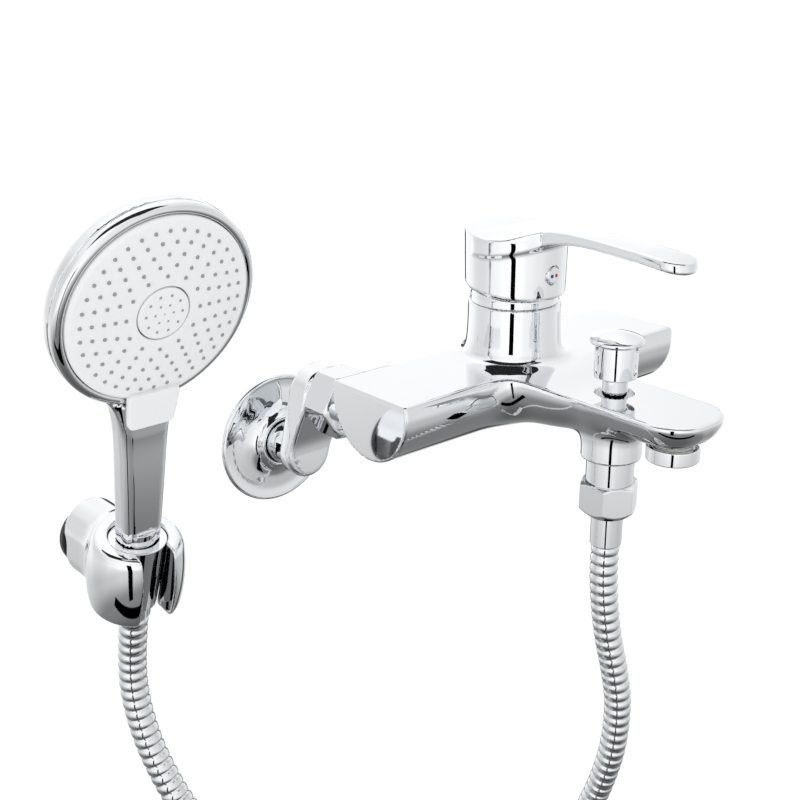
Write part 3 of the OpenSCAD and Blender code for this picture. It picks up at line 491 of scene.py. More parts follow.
def crossed_cells(grid, value, step):
    """One point in each crossed cell, and a grid that holds each cell's point number. The point is the
    mean of the crossings on the cell's twelve edges, each at va / (va - vb) of its edge."""
    n = np.array(value.shape)
    total = np.zeros(tuple(n - 1) + (3,))
    count = np.zeros(tuple(n - 1))
    for axis in range(3):
        others = [i for i in range(3) if i != axis]
        for da, db in ((0, 0), (0, 1), (1, 0), (1, 1)):
            first, second = [None] * 3, [None] * 3
            first[axis], second[axis] = slice(0, -1), slice(1, None)
            for o, d in zip(others, (da, db)):
                first[o] = second[o] = slice(d, n[o] - 1 + d)
            va, vb = value[tuple(first)], value[tuple(second)]
            crossed = (va < 0) != (vb < 0)
            offset = np.zeros(va.shape + (3,))
            offset[..., axis] = np.where(crossed, va / np.where(crossed, va - vb, 1), 0)
            offset[..., others[0]], offset[..., others[1]] = da, db
            total += np.where(crossed[..., None], offset, 0)
            count += crossed
    cells = count > 0
    number = np.full(cells.shape, -1)
    number[cells] = np.arange(cells.sum())
    base = np.stack([g[:-1, :-1, :-1] for g in grid], -1)
    return base[cells] + step * total[cells] / count[cells][:, None], number

def net(inside, number):
    """A quad between the four cells round each grid edge whose ends lie on different sides, turned
    by which end is inside."""
    quads = []
    for axis in range(3):
        p, q = [i for i in range(3) if i != axis]
        near, far = [slice(1, -1)] * 3, [slice(1, -1)] * 3
        near[axis], far[axis] = slice(0, -1), slice(1, None)
        cell = np.argwhere(inside[tuple(near)] != inside[tuple(far)])
        cell[:, [p, q]] += 1
        corners = []
        for dp, dq in ((0, 0), (-1, 0), (-1, -1), (0, -1)):
            c = cell.copy()
            c[:, p] += dp
            c[:, q] += dq
            corners.append(number[c[:, 0], c[:, 1], c[:, 2]])
        quad = np.stack(corners, 1)
        flip = inside[cell[:, 0], cell[:, 1], cell[:, 2]] == (axis != 1)
        quad[flip] = quad[flip][:, ::-1]
        quads.append(quad)
    return np.vstack(quads)

def skin(name, field, low, high, step, body, slot, stands_for=(), place=None, finish=None):
    """The net over the crossed cells between two corners of space. Each point then moves back by
    value . slope / slope^2, never more than LONGEST_SLIDE of a cell at once, SLIDES times over."""
    axes = [np.arange(lo, hi + step, step) for lo, hi in zip(low, high)]
    grid = np.meshgrid(*axes, indexing="ij")
    value = field(*grid)
    points, number = crossed_cells(grid, value, step)
    quads = net(value < 0, number)
    for _ in range(SLIDES):
        slope, here = gradient(field, points)
        move = here[:, None] * slope / np.maximum((slope ** 2).sum(1), LEAST_SLOPE)[:, None]
        length = np.linalg.norm(move, axis=1)[:, None]
        points = points - move * np.minimum(1, LONGEST_SLIDE * step / np.maximum(length, 1e-9))
    slope, _ = gradient(field, points)
    normals = slope / np.maximum(np.linalg.norm(slope, axis=1), 1e-9)[:, None]
    turn, origin = place or tilted(0, (0, 0, 0))
    return put(name, points @ turn.T + origin, quads, body, slot, stands_for, normals @ turn.T, finish)

print("each skin point slides", SLIDES, "times")

# %% [markdown]
# The body is one brass casting, polished and chromed. A round bar with a flat top carries the
# cartridge riser; the spout grows out of its front with a wide root, a flat top and a rounded belly;
# the shower outlet drops from the spout; and two tails with collars reach back to the coupling nuts.
# %% Body casting
BAR_HALF, BAR_R, BAR_Z, TOP_Z = 89.0, 25.0, 44.5, 51.0
SPOUT_TOP, SPOUT_TIP, SPOUT_HALF, SPOUT_DEEP = 47.5, 205.5, 20.5, 15.5
RISER_R, RISER_TOP = 21.6, 76.7
OUTLET_R, OUTLET_Z = 13.5, 17.5
INLET_X, INLET_Z = 68.5, 30.0
NOSE_R = 17.5
TAIL_R, COLLAR_R, COLLAR_Y, COLLAR_HALF = 9.8, 12.8, 50.7, 0.7
# Each bore: its distance from the wall, radius, floor or roof height and rounding of the edge.
BORES_FROM_ABOVE = [(REACH, 19.35, 67.0, 0.5), (REACH, 17.55, 37.0, 0.3),
                    (OUTLET_REACH, 8.75, 39.5, 0.6), (OUTLET_REACH, 7.6, 26.5, 0.3)]
BORES_FROM_BELOW = [(OUTLET_REACH, 10.53, 23.5, 0.3), (AERATOR_REACH, 11.6, 36.4, 0.5)]

def body_field(x, y, z):
    """Bar and spout are joined below the flat top, with a wide fillet, and then cut by the top, so that
    the top stays flat. The spout is a dome under its own outline: depth = D sqrt(1 - t^2), where t
    goes from 0 at the middle line to 1 at the outline. Towards the bar its root grows wider, deeper
    and higher by smooth steps. The riser is a round bar that flares at its foot, tails and collars
    are plain round bars, and the bores come last."""
    u = -y
    root = 1 - ease(REACH + 18, REACH + 60, u)
    half = SPOUT_HALF + 9 * root
    ax = np.maximum(np.abs(x) - (half - NOSE_R), 0)
    ay = np.maximum(u - (SPOUT_TIP - NOSE_R), 0)
    side = np.abs(x) - half
    outline = np.where((ax > 0) & (ay > 0), np.hypot(ax, ay) - NOSE_R, np.maximum(side, u - SPOUT_TIP))
    t = np.maximum(1 + outline / SPOUT_HALF, 0)
    depth = SPOUT_DEEP + 10 * (1 - ease(REACH + 24, REACH + 78, u))
    top = SPOUT_TOP + (TOP_Z - SPOUT_TOP) * (1 - ease(REACH + 24, REACH + 56, u))
    down = np.abs(top - z) / depth
    spout = (np.sqrt(t ** 2 + down ** 2) - 1) * 0.5 * (SPOUT_DEEP + SPOUT_HALF)
    spout = cut(spout, REACH - 5 - u, 2)
    bar = cut(column(y + REACH, z - BAR_Z, BAR_R), np.abs(x) - BAR_HALF, 1.4)
    shape = join(bar, spout, 15)
    branch = cut(column(x, y + OUTLET_REACH, OUTLET_R), OUTLET_Z - z, 1.0)
    shape = join(shape, cut(branch, z - SPOUT_TOP + 6, 4), 9)
    shape = cut(shape, z - top, 2.4)
    flare = RISER_R + 1.9 * np.exp(-np.maximum(z - TOP_Z, 0) / 7)
    riser = cut(cut(column(x, y + REACH, flare), z - RISER_TOP, 0.8), TOP_Z - 8 - z, 1)
    shape = join(shape, riser, 9)
    tail = cut(column(np.abs(x) - INLET_X, z - INLET_Z, TAIL_R), cut(y + 50, -y - REACH, 0.5), 0.5)
    collar = column(np.abs(x) - INLET_X, z - INLET_Z, COLLAR_R)
    collar = cut(collar, np.abs(y + COLLAR_Y) - COLLAR_HALF, 0.3)
    shape = join(join(shape, tail, 1.5), collar, 0.3)
    for at, radius, floor_z, edge in BORES_FROM_ABOVE:
        shape = cut(shape, -cut(column(x, y + at, radius), floor_z - z), edge)
    for at, radius, roof_z, edge in BORES_FROM_BELOW:
        shape = cut(shape, -cut(column(x, y + at, radius), z - roof_z), edge)
    return shape

skin("body_casting_smooth", body_field, (-91, -208, 14), (91, -47, 79), 1.0, "mixer", "chrome_body",
     ["body_casting"])

# %% [markdown]
# The lever is one zinc casting, polished and chromed: a hollow cap that turns over the cartridge, and
# a paddle that leaves the cap's flat top, arches over the spout and ends in a rounded tip. The top of
# the cap leans forward, so its front edge runs straight into the edge of the paddle.
# %% Lever casting
def in_frame(place, x, y, z):
    """The same points in a place's own millimetres: the turn undone, then read along its axes."""
    turn, origin = place
    dx, dy, dz = x - origin[0], y - origin[1], z - origin[2]
    return [turn[0, i] * dx + turn[1, i] * dy + turn[2, i] * dz for i in range(3)]

CAP_R, SKIRT_LOW, CAP_TOP, LEVER_LENGTH, INDEX_Z = 23.8, 10.1, 109.7, 99.0, 92.5
TIP_R, NECK_HALF, PADDLE_THICK = 9.2, 8.3, 5.0
CAVITY_R, CAVITY_TOP = 22.0, 103.5
HUB_R, HUB_LOW, HUB_TOP = 8.0, 14, 34
SPINDLE_R, SPINDLE_TOP = 5.15, 25
BUTTON_HOLE_R, BUTTON_HOLE_FLOOR = 4.1, 22.6
# Height of the paddle's top at places along it, softened below into one even curve.
PADDLE_AT = np.array([-10, 4, 12, 20, 28, 38, 52, 66, 80, 92, 99])
PADDLE_TOP = np.array([109.4, 109.6, 110.9, 113.2, 114.9, 115.7, 115.6, 115.1, 114.6, 113.6, 112.4])
paddle_fine = np.linspace(PADDLE_AT[0], PADDLE_AT[-1], 300)
bell = np.exp(-np.linspace(-2.2, 2.2, 31) ** 2)
arch = np.convolve(np.pad(np.interp(paddle_fine, PADDLE_AT, PADDLE_TOP), 15, mode="edge"),
                   bell / bell.sum(), "valid")

def lever_field(x, y, z):
    """In the lever's frame; s and up undo its lean. The cap is a bar under a plane that falls towards
    the front, and the paddle is a band under an arched curve, as wide as the cap at its root and with
    a round end in plan. The cap is hollow, with a hub for the spindle and a hole for the button."""
    lean = math.radians(TILT)
    s = -y * math.cos(lean) + z * math.sin(lean)
    up = y * math.sin(lean) + z * math.cos(lean) + PIVOT_Z
    top = np.interp(s, paddle_fine, arch)
    round_cap = np.sqrt(np.maximum(CAP_R ** 2 - s ** 2, 0)) - 0.1
    width = -join(-round_cap, -(NECK_HALF + 0.9 * ease(45, 95, s)), 9)
    nose = LEVER_LENGTH - TIP_R
    end = np.where(s > nose, np.hypot(x, s - nose) - TIP_R, np.abs(x) - width)
    thick = PADDLE_THICK + 2.5 * (1 - ease(14, 50, s))
    band = cut(up - top + 0.003 * x ** 2, top - thick - up, 2.8)
    band = cut(band, cut(end, -4 - s, 3), 2.2)
    cap = cut(column(x, s, CAP_R - 0.02 * (CAP_TOP - up)), up - CAP_TOP + 0.075 * s, 1.8)
    cap = cut(cap, (np.hypot(x, s) - 21.6 - 0.8 * (z - SKIRT_LOW)) * 0.78, 0.8)
    shape = join(cap, band, 4.0)
    shape = cut(shape, SKIRT_LOW - z, 0.6)
    shape = cut(shape, -cut(column(x, s, CAVITY_R), up - CAVITY_TOP, 1), 0.4)
    hub = cut(cut(column(x, y, HUB_R), HUB_LOW - z, 0.4), z - HUB_TOP, 0.4)
    shape = join(shape, hub, 0.6)
    shape = cut(shape, -cut(column(x, y, SPINDLE_R), z - SPINDLE_TOP, 0.2), 0.2)
    return cut(shape, -cut(column(x, up - INDEX_Z, BUTTON_HOLE_R), BUTTON_HOLE_FLOOR - s, 0.1), 0.3)

skin("lever_casting", lever_field, (-25, -100, 9), (25, 25, 53), 0.8, "lever", "chrome_body",
     ["lever_handle"], LEVER)
INDEX = tilted(90, (0, -REACH, INDEX_Z))
turned("index_button", INDEX, [(0, 21.2), (4.0, 21.2), (4.0, 23.6), (3.4, 24.1), (0, 24.3)],
       "lever", "index_plastic", ["index_plug"], fillet=0.3, sides=40)
for dot, side, tint in (("dot_left", -1, dot_blue), ("dot_right", 1, dot_red)):
    turned(dot, shifted(INDEX, (side * 1.35, 0, 0)), [(0, 23.8), (0.85, 23.8), (0.85, 24.34), (0, 24.4)],
           "lever", "index_plastic", [], fillet=0.1, sides=20, finish=tint)
turned("collar", RISER, [(18.6, 76.7), (20.6, 76.7), (20.6, 80.2), (19.6, 82.3), (17.8, 83.0), (14.5, 83.0),
       (14.5, 81.7), (17.4, 81.7), (18.6, 80.7)], "mixer", "chrome_body", ["collar_ring"], fillet=0.7)

# %% [markdown]
# The wall connection: a pressed brass flange that hides the hole in the tiles, a forged eccentric
# that lets the fitter match the pipe spacing, and a hexagon nut with its corners turned off at 30
# degrees, which leaves the curved lines at the ends of the flats.
# %% Flanges, eccentrics and nuts
FLANGE = [(10.8, 0), (31, 0), (32.5, 1.0), (32.5, 2.6), (31.3, 3.3), (30.2, 2.9), (26, 2.6), (19, 3.1),
          (15.6, 4.4), (13.4, 6.6), (12.8, 8.3), (10.8, 8.3)]
WALL_X = 75
NUT_LOW, NUT_HIGH, NUT_FLATS = 38.0, 55.0, 30
THREAD_PITCH, THREAD_R, THREAD_DEPTH = 1.814, 10.48, 0.45
STUB_R, STUB_BORE_R, MALE_R, MALE_BORE_R = 10.5, 7.5, 13.2, 10.3
LOWER_LOBE_R, UPPER_LOBE_R = 12.3, 14.2

def hexagon(x, y, flats):
    """Distance from a hexagon prism along the third axis: the largest of three pairs of sides."""
    return np.maximum(np.abs(x), np.maximum(np.abs(0.5 * x + 0.866 * y),
                                            np.abs(0.5 * x - 0.866 * y))) - flats / 2

def capsule(x, y, ax, ay, bx, by, ra, rb):
    """Two circles and what lies between them: distance to the segment less a radius that runs from
    one to the other."""
    dx, dy = bx - ax, by - ay
    t = np.clip(((x - ax) * dx + (y - ay) * dy) / (dx * dx + dy * dy), 0, 1)
    return np.hypot(x - ax - t * dx, y - ay - t * dy) - (ra + (rb - ra) * t)

def wall_set(side, label):
    """Flange, eccentric and coupling nut of one side; z runs out from the wall."""
    inlet = from_wall(side * WALL_X, 0)
    turned("flange_" + label, inlet, FLANGE, "mixer", "chrome_body", ["wall_flange_" + label],
           fillet=2.4, sides=128)
    high_x, high_y = side * (INLET_X - WALL_X), INLET_Z

    def eccentric(x, y, z):
        """Stub and wall thread on one axis, male end on the other, and a slab between them whose outline
        is two circles and whose front slopes outwards. The thread is a cosine of its pitch."""
        stub = cut(column(x, y, STUB_R), cut(-z, z - 22, 0.3), 0.3)
        crest = THREAD_R - THREAD_DEPTH * (0.5 + 0.5 * np.cos(z * 2 * np.pi / THREAD_PITCH))
        thread = cut(column(x, y, crest), cut(-14 - z, z, 0.5), 0.5)
        outline = capsule(x, y, 0, 0, high_x, high_y, LOWER_LOBE_R, UPPER_LOBE_R)
        front = 29.5 + 6.5 * ease(0, 30, y)
        slab = cut(outline, cut(z - front, 20.0 + 0.1 * np.maximum(y, 0) - z, 3), 3.2)
        shape = join(join(stub, slab, 1.2), thread, 0)
        male = cut(column(x - high_x, y - high_y, MALE_R), cut(30 - z, z - 48, 0.5), 0.6)
        shape = join(shape, male, 0.8)
        shape = cut(shape, -cut(column(x, y, STUB_BORE_R), z - 24, 0.2), 0.3)
        return cut(shape, -cut(column(x - high_x, y - high_y, MALE_BORE_R), 42 - z, 0.2), 0.3)

    skin("eccentric_%s_smooth" % label, eccentric, (-22, -14, -15), (22, 46, 50), 0.8, "mixer",
         "chrome_body", ["eccentric_" + label], inlet)

    def nut(x, y, z):
        """Hexagon between its two ends, less a cone at 30 degrees from each end, less the bore."""
        bevel = (np.hypot(x, y) - 14.6 - 1.73 * np.minimum(z - NUT_LOW, NUT_HIGH - z)) * 0.5
        shape = cut(cut(hexagon(y, x, NUT_FLATS), bevel, 0.5), cut(NUT_LOW - z, z - NUT_HIGH, 0), 0.5)
        return cut(shape, -cut(column(x, y, 13.4), z - 51.5, 0.2), 0.3)

    skin("nut_%s" % label, nut, (-19, -19, 36.5), (19, 19, 56.5), 0.7, "mixer", "chrome_body",
         ["coupling_nut_" + label], from_wall(side * INLET_X, INLET_Z))

wall_set(-1, "left")
wall_set(1, "right")

# %% [markdown]
# The diverter: a knob with a mushroom cap and flutes for the fingers, on a polished stem that passes
# through a screwed bush. Below it hang the outlet nipple and the domed nut of the hose.
# %% Diverter knob, outlet and aerator
FLUTES, FIRST_FLUTE = 3, 161
BARREL_R = 9.6

def knob_field(x, y, z):
    """A barrel with three round-ended flutes, a third of a turn apart, under a cap like a flat dome."""
    part = 2 * np.pi / FLUTES
    off = (np.arctan2(y, x) - math.radians(FIRST_FLUTE) + part / 2) % part - part / 2
    r = np.hypot(x, y)
    barrel = cut(r - BARREL_R, cut(55.0 - z, z - 71.5, 0), 0.8)
    flute = np.hypot(off * BARREL_R, np.maximum(np.abs(z - 63.2) - 3.8, 0)) - 2.3
    barrel = cut(barrel, -cut(flute, 8.7 - r, 0.6), 0.5)
    shape = join(barrel, cut(r - 12.0, cut(70.4 - z, z - 75.4 + 0.021 * r ** 2, 1.4), 1.6), 1.0)
    return cut(shape, -cut(r - 5.8, z - 62.5, 0.2), 0.3)

skin("knob", knob_field, (-13, -13, 54), (13, 13, 76.5), 0.45, "diverter", "chrome_body",
     ["diverter_knob"], DIVERTER)
turned("nipple", DIVERTER, [(8.2, 5.6), (10.78, 5.6), (10.78, 17.2), (12.6, 17.2), (12.6, 17.5),
       (8.2, 17.5)], "mixer", "chrome_body", [], fillet=0.3)
turned("spout_ring", AERATOR, [(9.4, 26.5), (11.5, 26.5), (11.5, 33.0), (9.4, 33.0)],
       "mixer", "chrome_body", ["aerator_housing"], fillet=0.6)

HOSE_NUT_LOW, HOSE_NUT_TOP, HOSE_NUT_FLATS, HOSE_BORE_R = -11, 5.4, 24, 7.6

def hose_nut_field(x, y, z):
    """Hexagon whose corners are cut by a cone from above and by a steeper one from below, which
    leaves a dome, with a small lip at the top."""
    r = np.hypot(x, y)
    bevel = (r - 12.1 - 1.73 * (HOSE_NUT_TOP - z)) * 0.5
    dome = (r - 9.4 - 1.15 * (z - HOSE_NUT_LOW)) * 0.66
    shape = cut(hexagon(x, y, HOSE_NUT_FLATS), cut(bevel, dome, 1.5), 0.5)
    shape = cut(shape, cut(HOSE_NUT_LOW - z, z - HOSE_NUT_TOP, 0), 0.6)
    lip = cut(r - 12.0, np.abs(z - 5.0) - 0.5, 0.3)
    shape = join(shape, lip, 0.3)
    return cut(shape, -cut(r - HOSE_BORE_R, -2 - z, 0.2), 0.3)

skin("hose_nut_domed", hose_nut_field, (-15, -15, -12), (15, 15, 6.5), 0.5, "mixer", "chrome_body",
     ["hose_nut"], DIVERTER)
turned("ferrule", DIVERTER, [(6.2, -26), (7.2, -26), (7.2, -11.3), (6.2, -11.3)], "mixer", "chrome_body",
       ["hose_ferrule"], fillet=0.5)

# %% [markdown]
# The hand shower is moulded in plastic and chromed: a flat-fronted handle that widens upwards and
# flows into a shallow dome. A turned ring holds the white spray plate, and the tab below the plate
# turns it to another spray. The shell is a field, because handle and head flow into each other; the
# ring and the plate are turned.
# %% Hand shower
HANDLE_LOW, HANDLE_TOP, HANDLE_CORNER = 34.3, 116, 4.2
HEAD_R, HEAD_BACK, HEAD_EDGE, HEAD_OPENING = 44, 15.3, -5.3, 40.1

def shell_field(x, y, z):
    """In the handset's frame: a rounded box that widens and bends back a little as t runs from 0 to 1
    up the handle, joined softly to the head's back, (r / R)^2.5 + (back / depth)^2.5 = 1. The head is
    then cut open in front, for the ring and the plate."""
    t = np.clip((z - HANDLE_LOW) / (HANDLE_TOP - HANDLE_LOW), 0, 1.3)
    half_w, half_d = 9.0 + 3.2 * t, 6.25 - 0.25 * t
    bend = 4 * t ** 1.6
    qx, qy = np.abs(x) - half_w + HANDLE_CORNER, np.abs(y - bend) - half_d + HANDLE_CORNER
    box = np.hypot(np.maximum(qx, 0), np.maximum(qy, 0)) + np.minimum(np.maximum(qx, qy), 0) - HANDLE_CORNER
    box = cut(box, cut(HANDLE_LOW - z, z - 122, 1), 0.8)
    box = join(box, cut(column(x, y, 8.3), cut(28 - z, z - 40, 0), 0.3), 0.8)
    a = math.radians(90 + HEAD_TILT)
    dy, dz = y - HEAD_Y, z - HEAD_Z
    hy, hz = math.cos(a) * dy + math.sin(a) * dz, -math.sin(a) * dy + math.cos(a) * dz
    r = np.hypot(x, hy)
    back = np.maximum(-hz - 6.5, 0) / HEAD_BACK
    dome = ((r / HEAD_R) ** 2.5 + back ** 2.5) ** 0.4 - 1
    dome = cut(dome * 20, hz - HEAD_EDGE, 0.4)
    shape = join(box, dome, 13)
    shape = cut(shape, -cut(cut(r - 44.6, HEAD_EDGE - hz, 0), 0, 0), 0.3)
    return cut(shape, -cut(r - HEAD_OPENING, -9.9 - hz, 0.3), 0.3)

skin("shower_shell", shell_field, (-46, -20, 26), (46, 30, 194), 1.0, "handset", "chrome_plastic",
     ["handset_shell"], HANDSET)
turned("shower_rim", HEAD, [(40.1, -5.25), (44, -5.25), (44, -2.2), (43, -0.8), (41.6, -0.3), (40.6, -0.5),
       (40.1, -0.9)], "handset", "chrome_plastic", ["rim_ring"], fillet=0.8, sides=160)
PLATE = [(11.7, -3), (39.8, -3), (39.8, 0.0), (38.6, 1.0), (34, 1.6), (28, 2.3), (21, 2.8), (14, 3.1),
         (11.7, 3.1)]
turned("spray_plate", HEAD, PLATE, "face", "white_plastic", ["spray_face"], fillet=0.5, sides=160)

def tab_field(x, y, z):
    """A flat tab with straight sides that lean in and rounded corners, in the head's frame."""
    half = 11.5 + (y + 40) * 0.1
    plan = cut(np.abs(x) - half, cut(-53 - y, y + 36, 0), 4.0)
    return cut(plan, np.abs(z - 1.9 - 0.02 * (y + 45)) - 1.55, 1.3)

skin("selector_tab", tab_field, (-13, -54.5, -0.5), (13, -34, 4.5), 0.5, "face", "white_plastic", [],
     HEAD)
turned("centre_plate", HEAD, [(0, -5), (11.2, -5), (11.2, 3.0), (10.6, 3.5), (0, 3.7)], "face",
       "white_plastic", ["centre_disc"], fillet=0.4)

# %% [markdown]
# The nozzles are the tips of one soft silicone mat that poke through the plate on even rings, so that
# lime can be rubbed off. There are well over a hundred, so each is a small dome of 80 faces, and all
# of them are one mesh: the points of one dome, copied to every place.
# %% Nozzles
# Number of nozzles on each ring and the ring's radius, first on the plate, then on the centre.
NOZZLE_RINGS = [(12, 16.2), (18, 20.6), (24, 25.2), (30, 30.0), (36, 34.6), (1, 0.0), (6, 4.0), (10, 8.0)]

def nozzle_domes(radius=0.85, lift=0.9, sides=10):
    """Nozzle i of n on a ring stands at r cos(2 pi i / n), r sin(2 pi i / n), as high as the plate's
    outline is at r. A dome is four rings of points, closed at both ends."""
    heights = np.array([-1.2, 0.0, 0.55, 0.8]) * lift
    radii = np.array([1.0, 1.0, 0.72, 0.05]) * radius
    a = np.arange(sides) * 2 * np.pi / sides
    one = np.stack([radii[:, None] * np.cos(a), radii[:, None] * np.sin(a),
                    np.repeat(heights[:, None], sides, 1)], -1).reshape(-1, 3)
    tri = np.vstack([halved(tube_faces(4, sides)), fan(np.arange(sides)[::-1], 4 * sides),
                     fan(np.arange(3 * sides, 4 * sides), 4 * sides + 1)])
    one = np.vstack([one, [[0, 0, heights[0]]], [[0, 0, heights[-1]]]])
    line = np.array(PLATE)[1:][::-1]
    spots = np.array([(r * math.cos(t), r * math.sin(t), np.interp(r, line[:, 0], line[:, 1]))
                      for count, r in NOZZLE_RINGS for t in np.arange(count) * 2 * np.pi / count])
    points = (one[None] + spots[:, None]).reshape(-1, 3)
    faces = (tri[None] + (np.arange(len(spots)) * len(one))[:, None, None]).reshape(-1, 3)
    turn, origin = HEAD
    return put("nozzles", points @ turn.T + origin, faces, "face", "nozzle_silicone", ["nozzle_mat"])

nozzle_domes()
print("nozzles", sum(count for count, _ in NOZZLE_RINGS))

# %% [markdown]
# The cone nut of the hose sits in the wall holder, which is a moulded cup with a bored cone and a
# slot that lets the hose in from the front.
# %% Cone nut and holder
turned("cone", HANDSET, [(7.4, 0), (9.4, 0), (12.6, 34), (8.9, 34), (8.0, 2)], "handset", "chrome_body",
       ["cone_nut"], fillet=0.6)

CUP_R, CUP_HALF, SLOT_HALF = 21.0, 18, 7.6
CONE_R, CONE_WIDENS, CONE_HEIGHT = 9.65, 0.0941, 34
WALL_PLATE_THICK = 3

def holder_field(x, y, z):
    """In the room's millimetres: a barrel that leans with the hand shower and a neck to the wall that
    is two circles and what lies between them, less the cone and the slot."""
    cx, cy, cz = in_frame(CUP, x, y, z)
    barrel = cut(column(cx, cy, CUP_R - 0.006 * cz ** 2), np.abs(cz) - CUP_HALF, 5.5)
    neck = capsule(x - CUP_MIDDLE[0], z + 20, 0, 5, 0, -5, 13.5, 13.5)
    neck = cut(neck, cut(WALL_PLATE_THICK + y, -y - 40, 0), 1.5)
    shape = join(barrel, neck, 10)
    shape = cut(shape, WALL_PLATE_THICK + y, 0.8)
    hx, hy, hz = in_frame(HANDSET, x, y, z)
    bore = (np.hypot(hx, hy) - CONE_R - CONE_WIDENS * np.clip(hz, 0, CONE_HEIGHT)) * 0.995
    shape = cut(shape, -bore, 1.2)
    slot = cut(np.abs(hx) - SLOT_HALF, hy, 0.5)
    return cut(shape, -slot, 1.6)

skin("holder_cup", holder_field, (-203, -66, -46), (-157, -1, 4), 0.8, "mixer", "chrome_plastic",
     ["holder_body"])

# %% [markdown]
# Polished chrome has no colour of its own: it shows the room. The room here is a soft tent of light,
# a little dimmer towards both sides and dark low down, so that round parts get darker edges and a
# darker underside. It is made as the sky of the scene, from two ramps over direction.
# %% Tent of light
def ramp(tree, factor, stops):
    """Greys that follow a factor from 0 to 1, eased between (place, grey) stops."""
    node = add(tree, "ShaderNodeValToRGB", {}, {"Fac": factor})
    node.color_ramp.interpolation = "EASE"
    while len(node.color_ramp.elements) < len(stops):
        node.color_ramp.elements.new(0.5)
    for element, (at, grey) in zip(node.color_ramp.elements, stops):
        element.position = at
        element.color = (grey, grey, grey, 1)
    return node.outputs["Color"]

# Level direction to the right of somebody who faces the faucet from the camera's side.
SIDEWAYS = (0.761, -0.648, 0)
# Each ramp runs from one side to the other, or from straight down to straight up.
SIDE_GREYS = [(0.0, 0.66), (0.12, 0.88), (0.3, 1.0), (0.54, 1.0), (0.7, 0.86), (0.88, 0.78), (1.0, 0.66)]
RISING_GREYS = [(0.0, 0.10), (0.14, 0.22), (0.26, 0.62), (0.36, 1.0), (0.55, 1.0), (0.68, 0.90), (1.0, 1.0)]
TENT_STRENGTH = 1.22

world = bpy.data.worlds.new("studio")
world.use_nodes = True
tree = world.node_tree
towards = add(tree, "ShaderNodeTexCoord").outputs["Generated"]
aside = add(tree, "ShaderNodeVectorMath", {"operation": "DOT_PRODUCT", 1: SIDEWAYS}, {0: towards})
height = add(tree, "ShaderNodeSeparateXYZ", {}, {"Vector": towards})
greys = []
for cosine, stops in ((aside.outputs["Value"], SIDE_GREYS), (height.outputs["Z"], RISING_GREYS)):
    share = add(tree, "ShaderNodeMapRange", {"From Min": -1.0}, {"Value": cosine})
    greys.append(ramp(tree, share.outputs["Result"], stops))
both = add(tree, "ShaderNodeMix", {"data_type": "RGBA", "blend_type": "MULTIPLY", 0: 1.0},
           {6: greys[0], 7: greys[1]})
tree.links.new(both.outputs[2], tree.nodes["Background"].inputs["Color"])
tree.nodes["Background"].inputs["Strength"].default_value = TENT_STRENGTH
bpy.context.scene.world = world
bpy.context.scene.view_settings.view_transform = "Standard"
print("tent of light, strength", TENT_STRENGTH)

# %% [markdown]
# In an even tent chrome has no outline. So black cards stand round the faucet, as they do on a real
# set, and each curve shows a thin dark image of them. The camera doesn't see them and they throw no
# shadow: only reflections find them.
# %% Dark cards
def flat_of(name, grey):
    """A finish that gives one even grey, with no shading of its own."""
    material = bpy.data.materials.new(name)
    material.use_nodes = True
    tree = material.node_tree
    tree.nodes.clear()
    glow = add(tree, "ShaderNodeEmission", {"Color": (grey, grey, grey, 1)})
    add(tree, "ShaderNodeOutputMaterial", {}, {"Surface": glow.outputs["Emission"]})
    return material

def set_sheet(name, points, finish):
    """One flat face from its corner points, as part of the set and not of the faucet."""
    mesh = bpy.data.meshes.new(name)
    mesh.from_pydata(np.asarray(points, float).tolist(), [], [list(range(len(points)))])
    mesh.materials.append(finish)
    sheet = bpy.data.objects.new(name, mesh)
    bpy.context.scene.collection.objects.link(sheet)
    sheet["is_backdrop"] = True
    return sheet

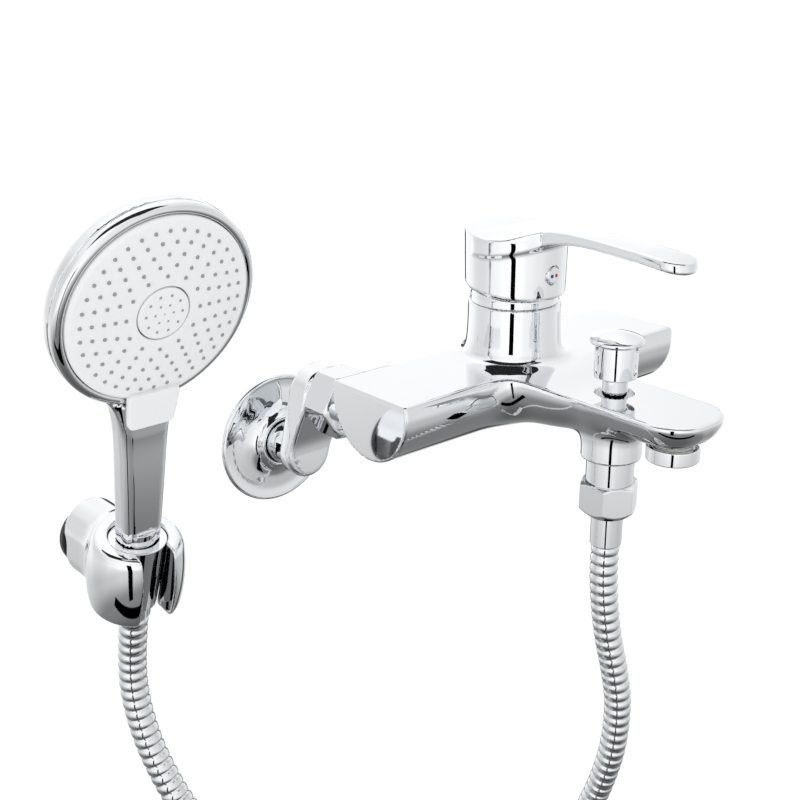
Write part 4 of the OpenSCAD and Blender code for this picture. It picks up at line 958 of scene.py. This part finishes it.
def card(name, centre, towards, width, height, grey):
    """A flat card that faces a point: corners = centre +- side . width / 2 +- up . height / 2, where side
    is square to the facing direction and level, and up is square to both."""
    centre = np.asarray(centre, float)
    facing = np.asarray(towards, float) - centre
    facing /= np.linalg.norm(facing)
    side = np.cross([0, 0, 1], facing)
    side /= np.linalg.norm(side)
    up = np.cross(facing, side)
    signs = np.array([(-1, -1), (1, -1), (1, 1), (-1, 1)])
    corners = centre + signs[:, :1] * side * width / 2 + signs[:, 1:] * up * height / 2
    sheet = set_sheet(name, corners, flat_of(name, grey))
    sheet.visible_camera = sheet.visible_diffuse = sheet.visible_shadow = False

# Name, degrees round from the camera's side, width in degrees, lowest and highest point, grey.
UPRIGHT_CARDS = [("black_strip", -9, 10, -3.2, 0.4, 0.0), ("left_edge", -168, 20, -3.0, 0.0, 0.10),
                 ("right_edge", 160, 14, -3.0, 0.0, 0.10)]
CARD_DISTANCE = 3.0
# Level angle of the direction from the faucet to the camera.
CAMERA_SIDE = math.atan2(-0.499, -0.425)

def upright_cards():
    """Cards round the faucet, all at one distance D: width = 2 D tan(angle / 2)."""
    for name, turn, wide, low, high, grey in UPRIGHT_CARDS:
        a = CAMERA_SIDE + math.radians(turn)
        middle = (low + high) / 2
        card(name, (CARD_DISTANCE * math.cos(a), CARD_DISTANCE * math.sin(a), middle), (0, 0, middle),
             2 * CARD_DISTANCE * math.tan(math.radians(wide / 2)), high - low, grey)

upright_cards()
card("card_below_dark", (-0.65, -0.95, -1.75), (-0.1, -0.1, 0), 3.4, 0.34, 0.0)
card("card_over", (-0.45, -0.5, 2.6), (0, -0.1, 0), 4.2, 1.9, 0.02)
print("dark cards", len(UPRIGHT_CARDS) + 2)

# %% [markdown]
# The floor is a plain pale disc just under the coil of hose, so wide that its rim lies far behind the
# faucet, where a low view from behind shows it as a horizon. It catches the soft shadow. Chrome
# doesn't mirror it, because the tent is what gives the dark underside.
# %% Floor
FLOOR_R, FLOOR_CORNERS, FLOOR_GAP = 9, 96, 0.0005

def floor():
    """Corner k of n stands at R cos(2 pi k / n), R sin(2 pi k / n)."""
    a = np.arange(FLOOR_CORNERS) * 2 * np.pi / FLOOR_CORNERS
    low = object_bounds()[0][2] - FLOOR_GAP
    points = np.stack([FLOOR_R * np.cos(a), FLOOR_R * np.sin(a), np.full(FLOOR_CORNERS, low)], 1)
    paper = finish_of("matt_white_paper", "#FFFFFF", 0.0, (0.8, 0.9), grain_mm=40)
    set_sheet("floor", points, paper).visible_glossy = False
    print("floor at", round(low, 4), "m")

floor()
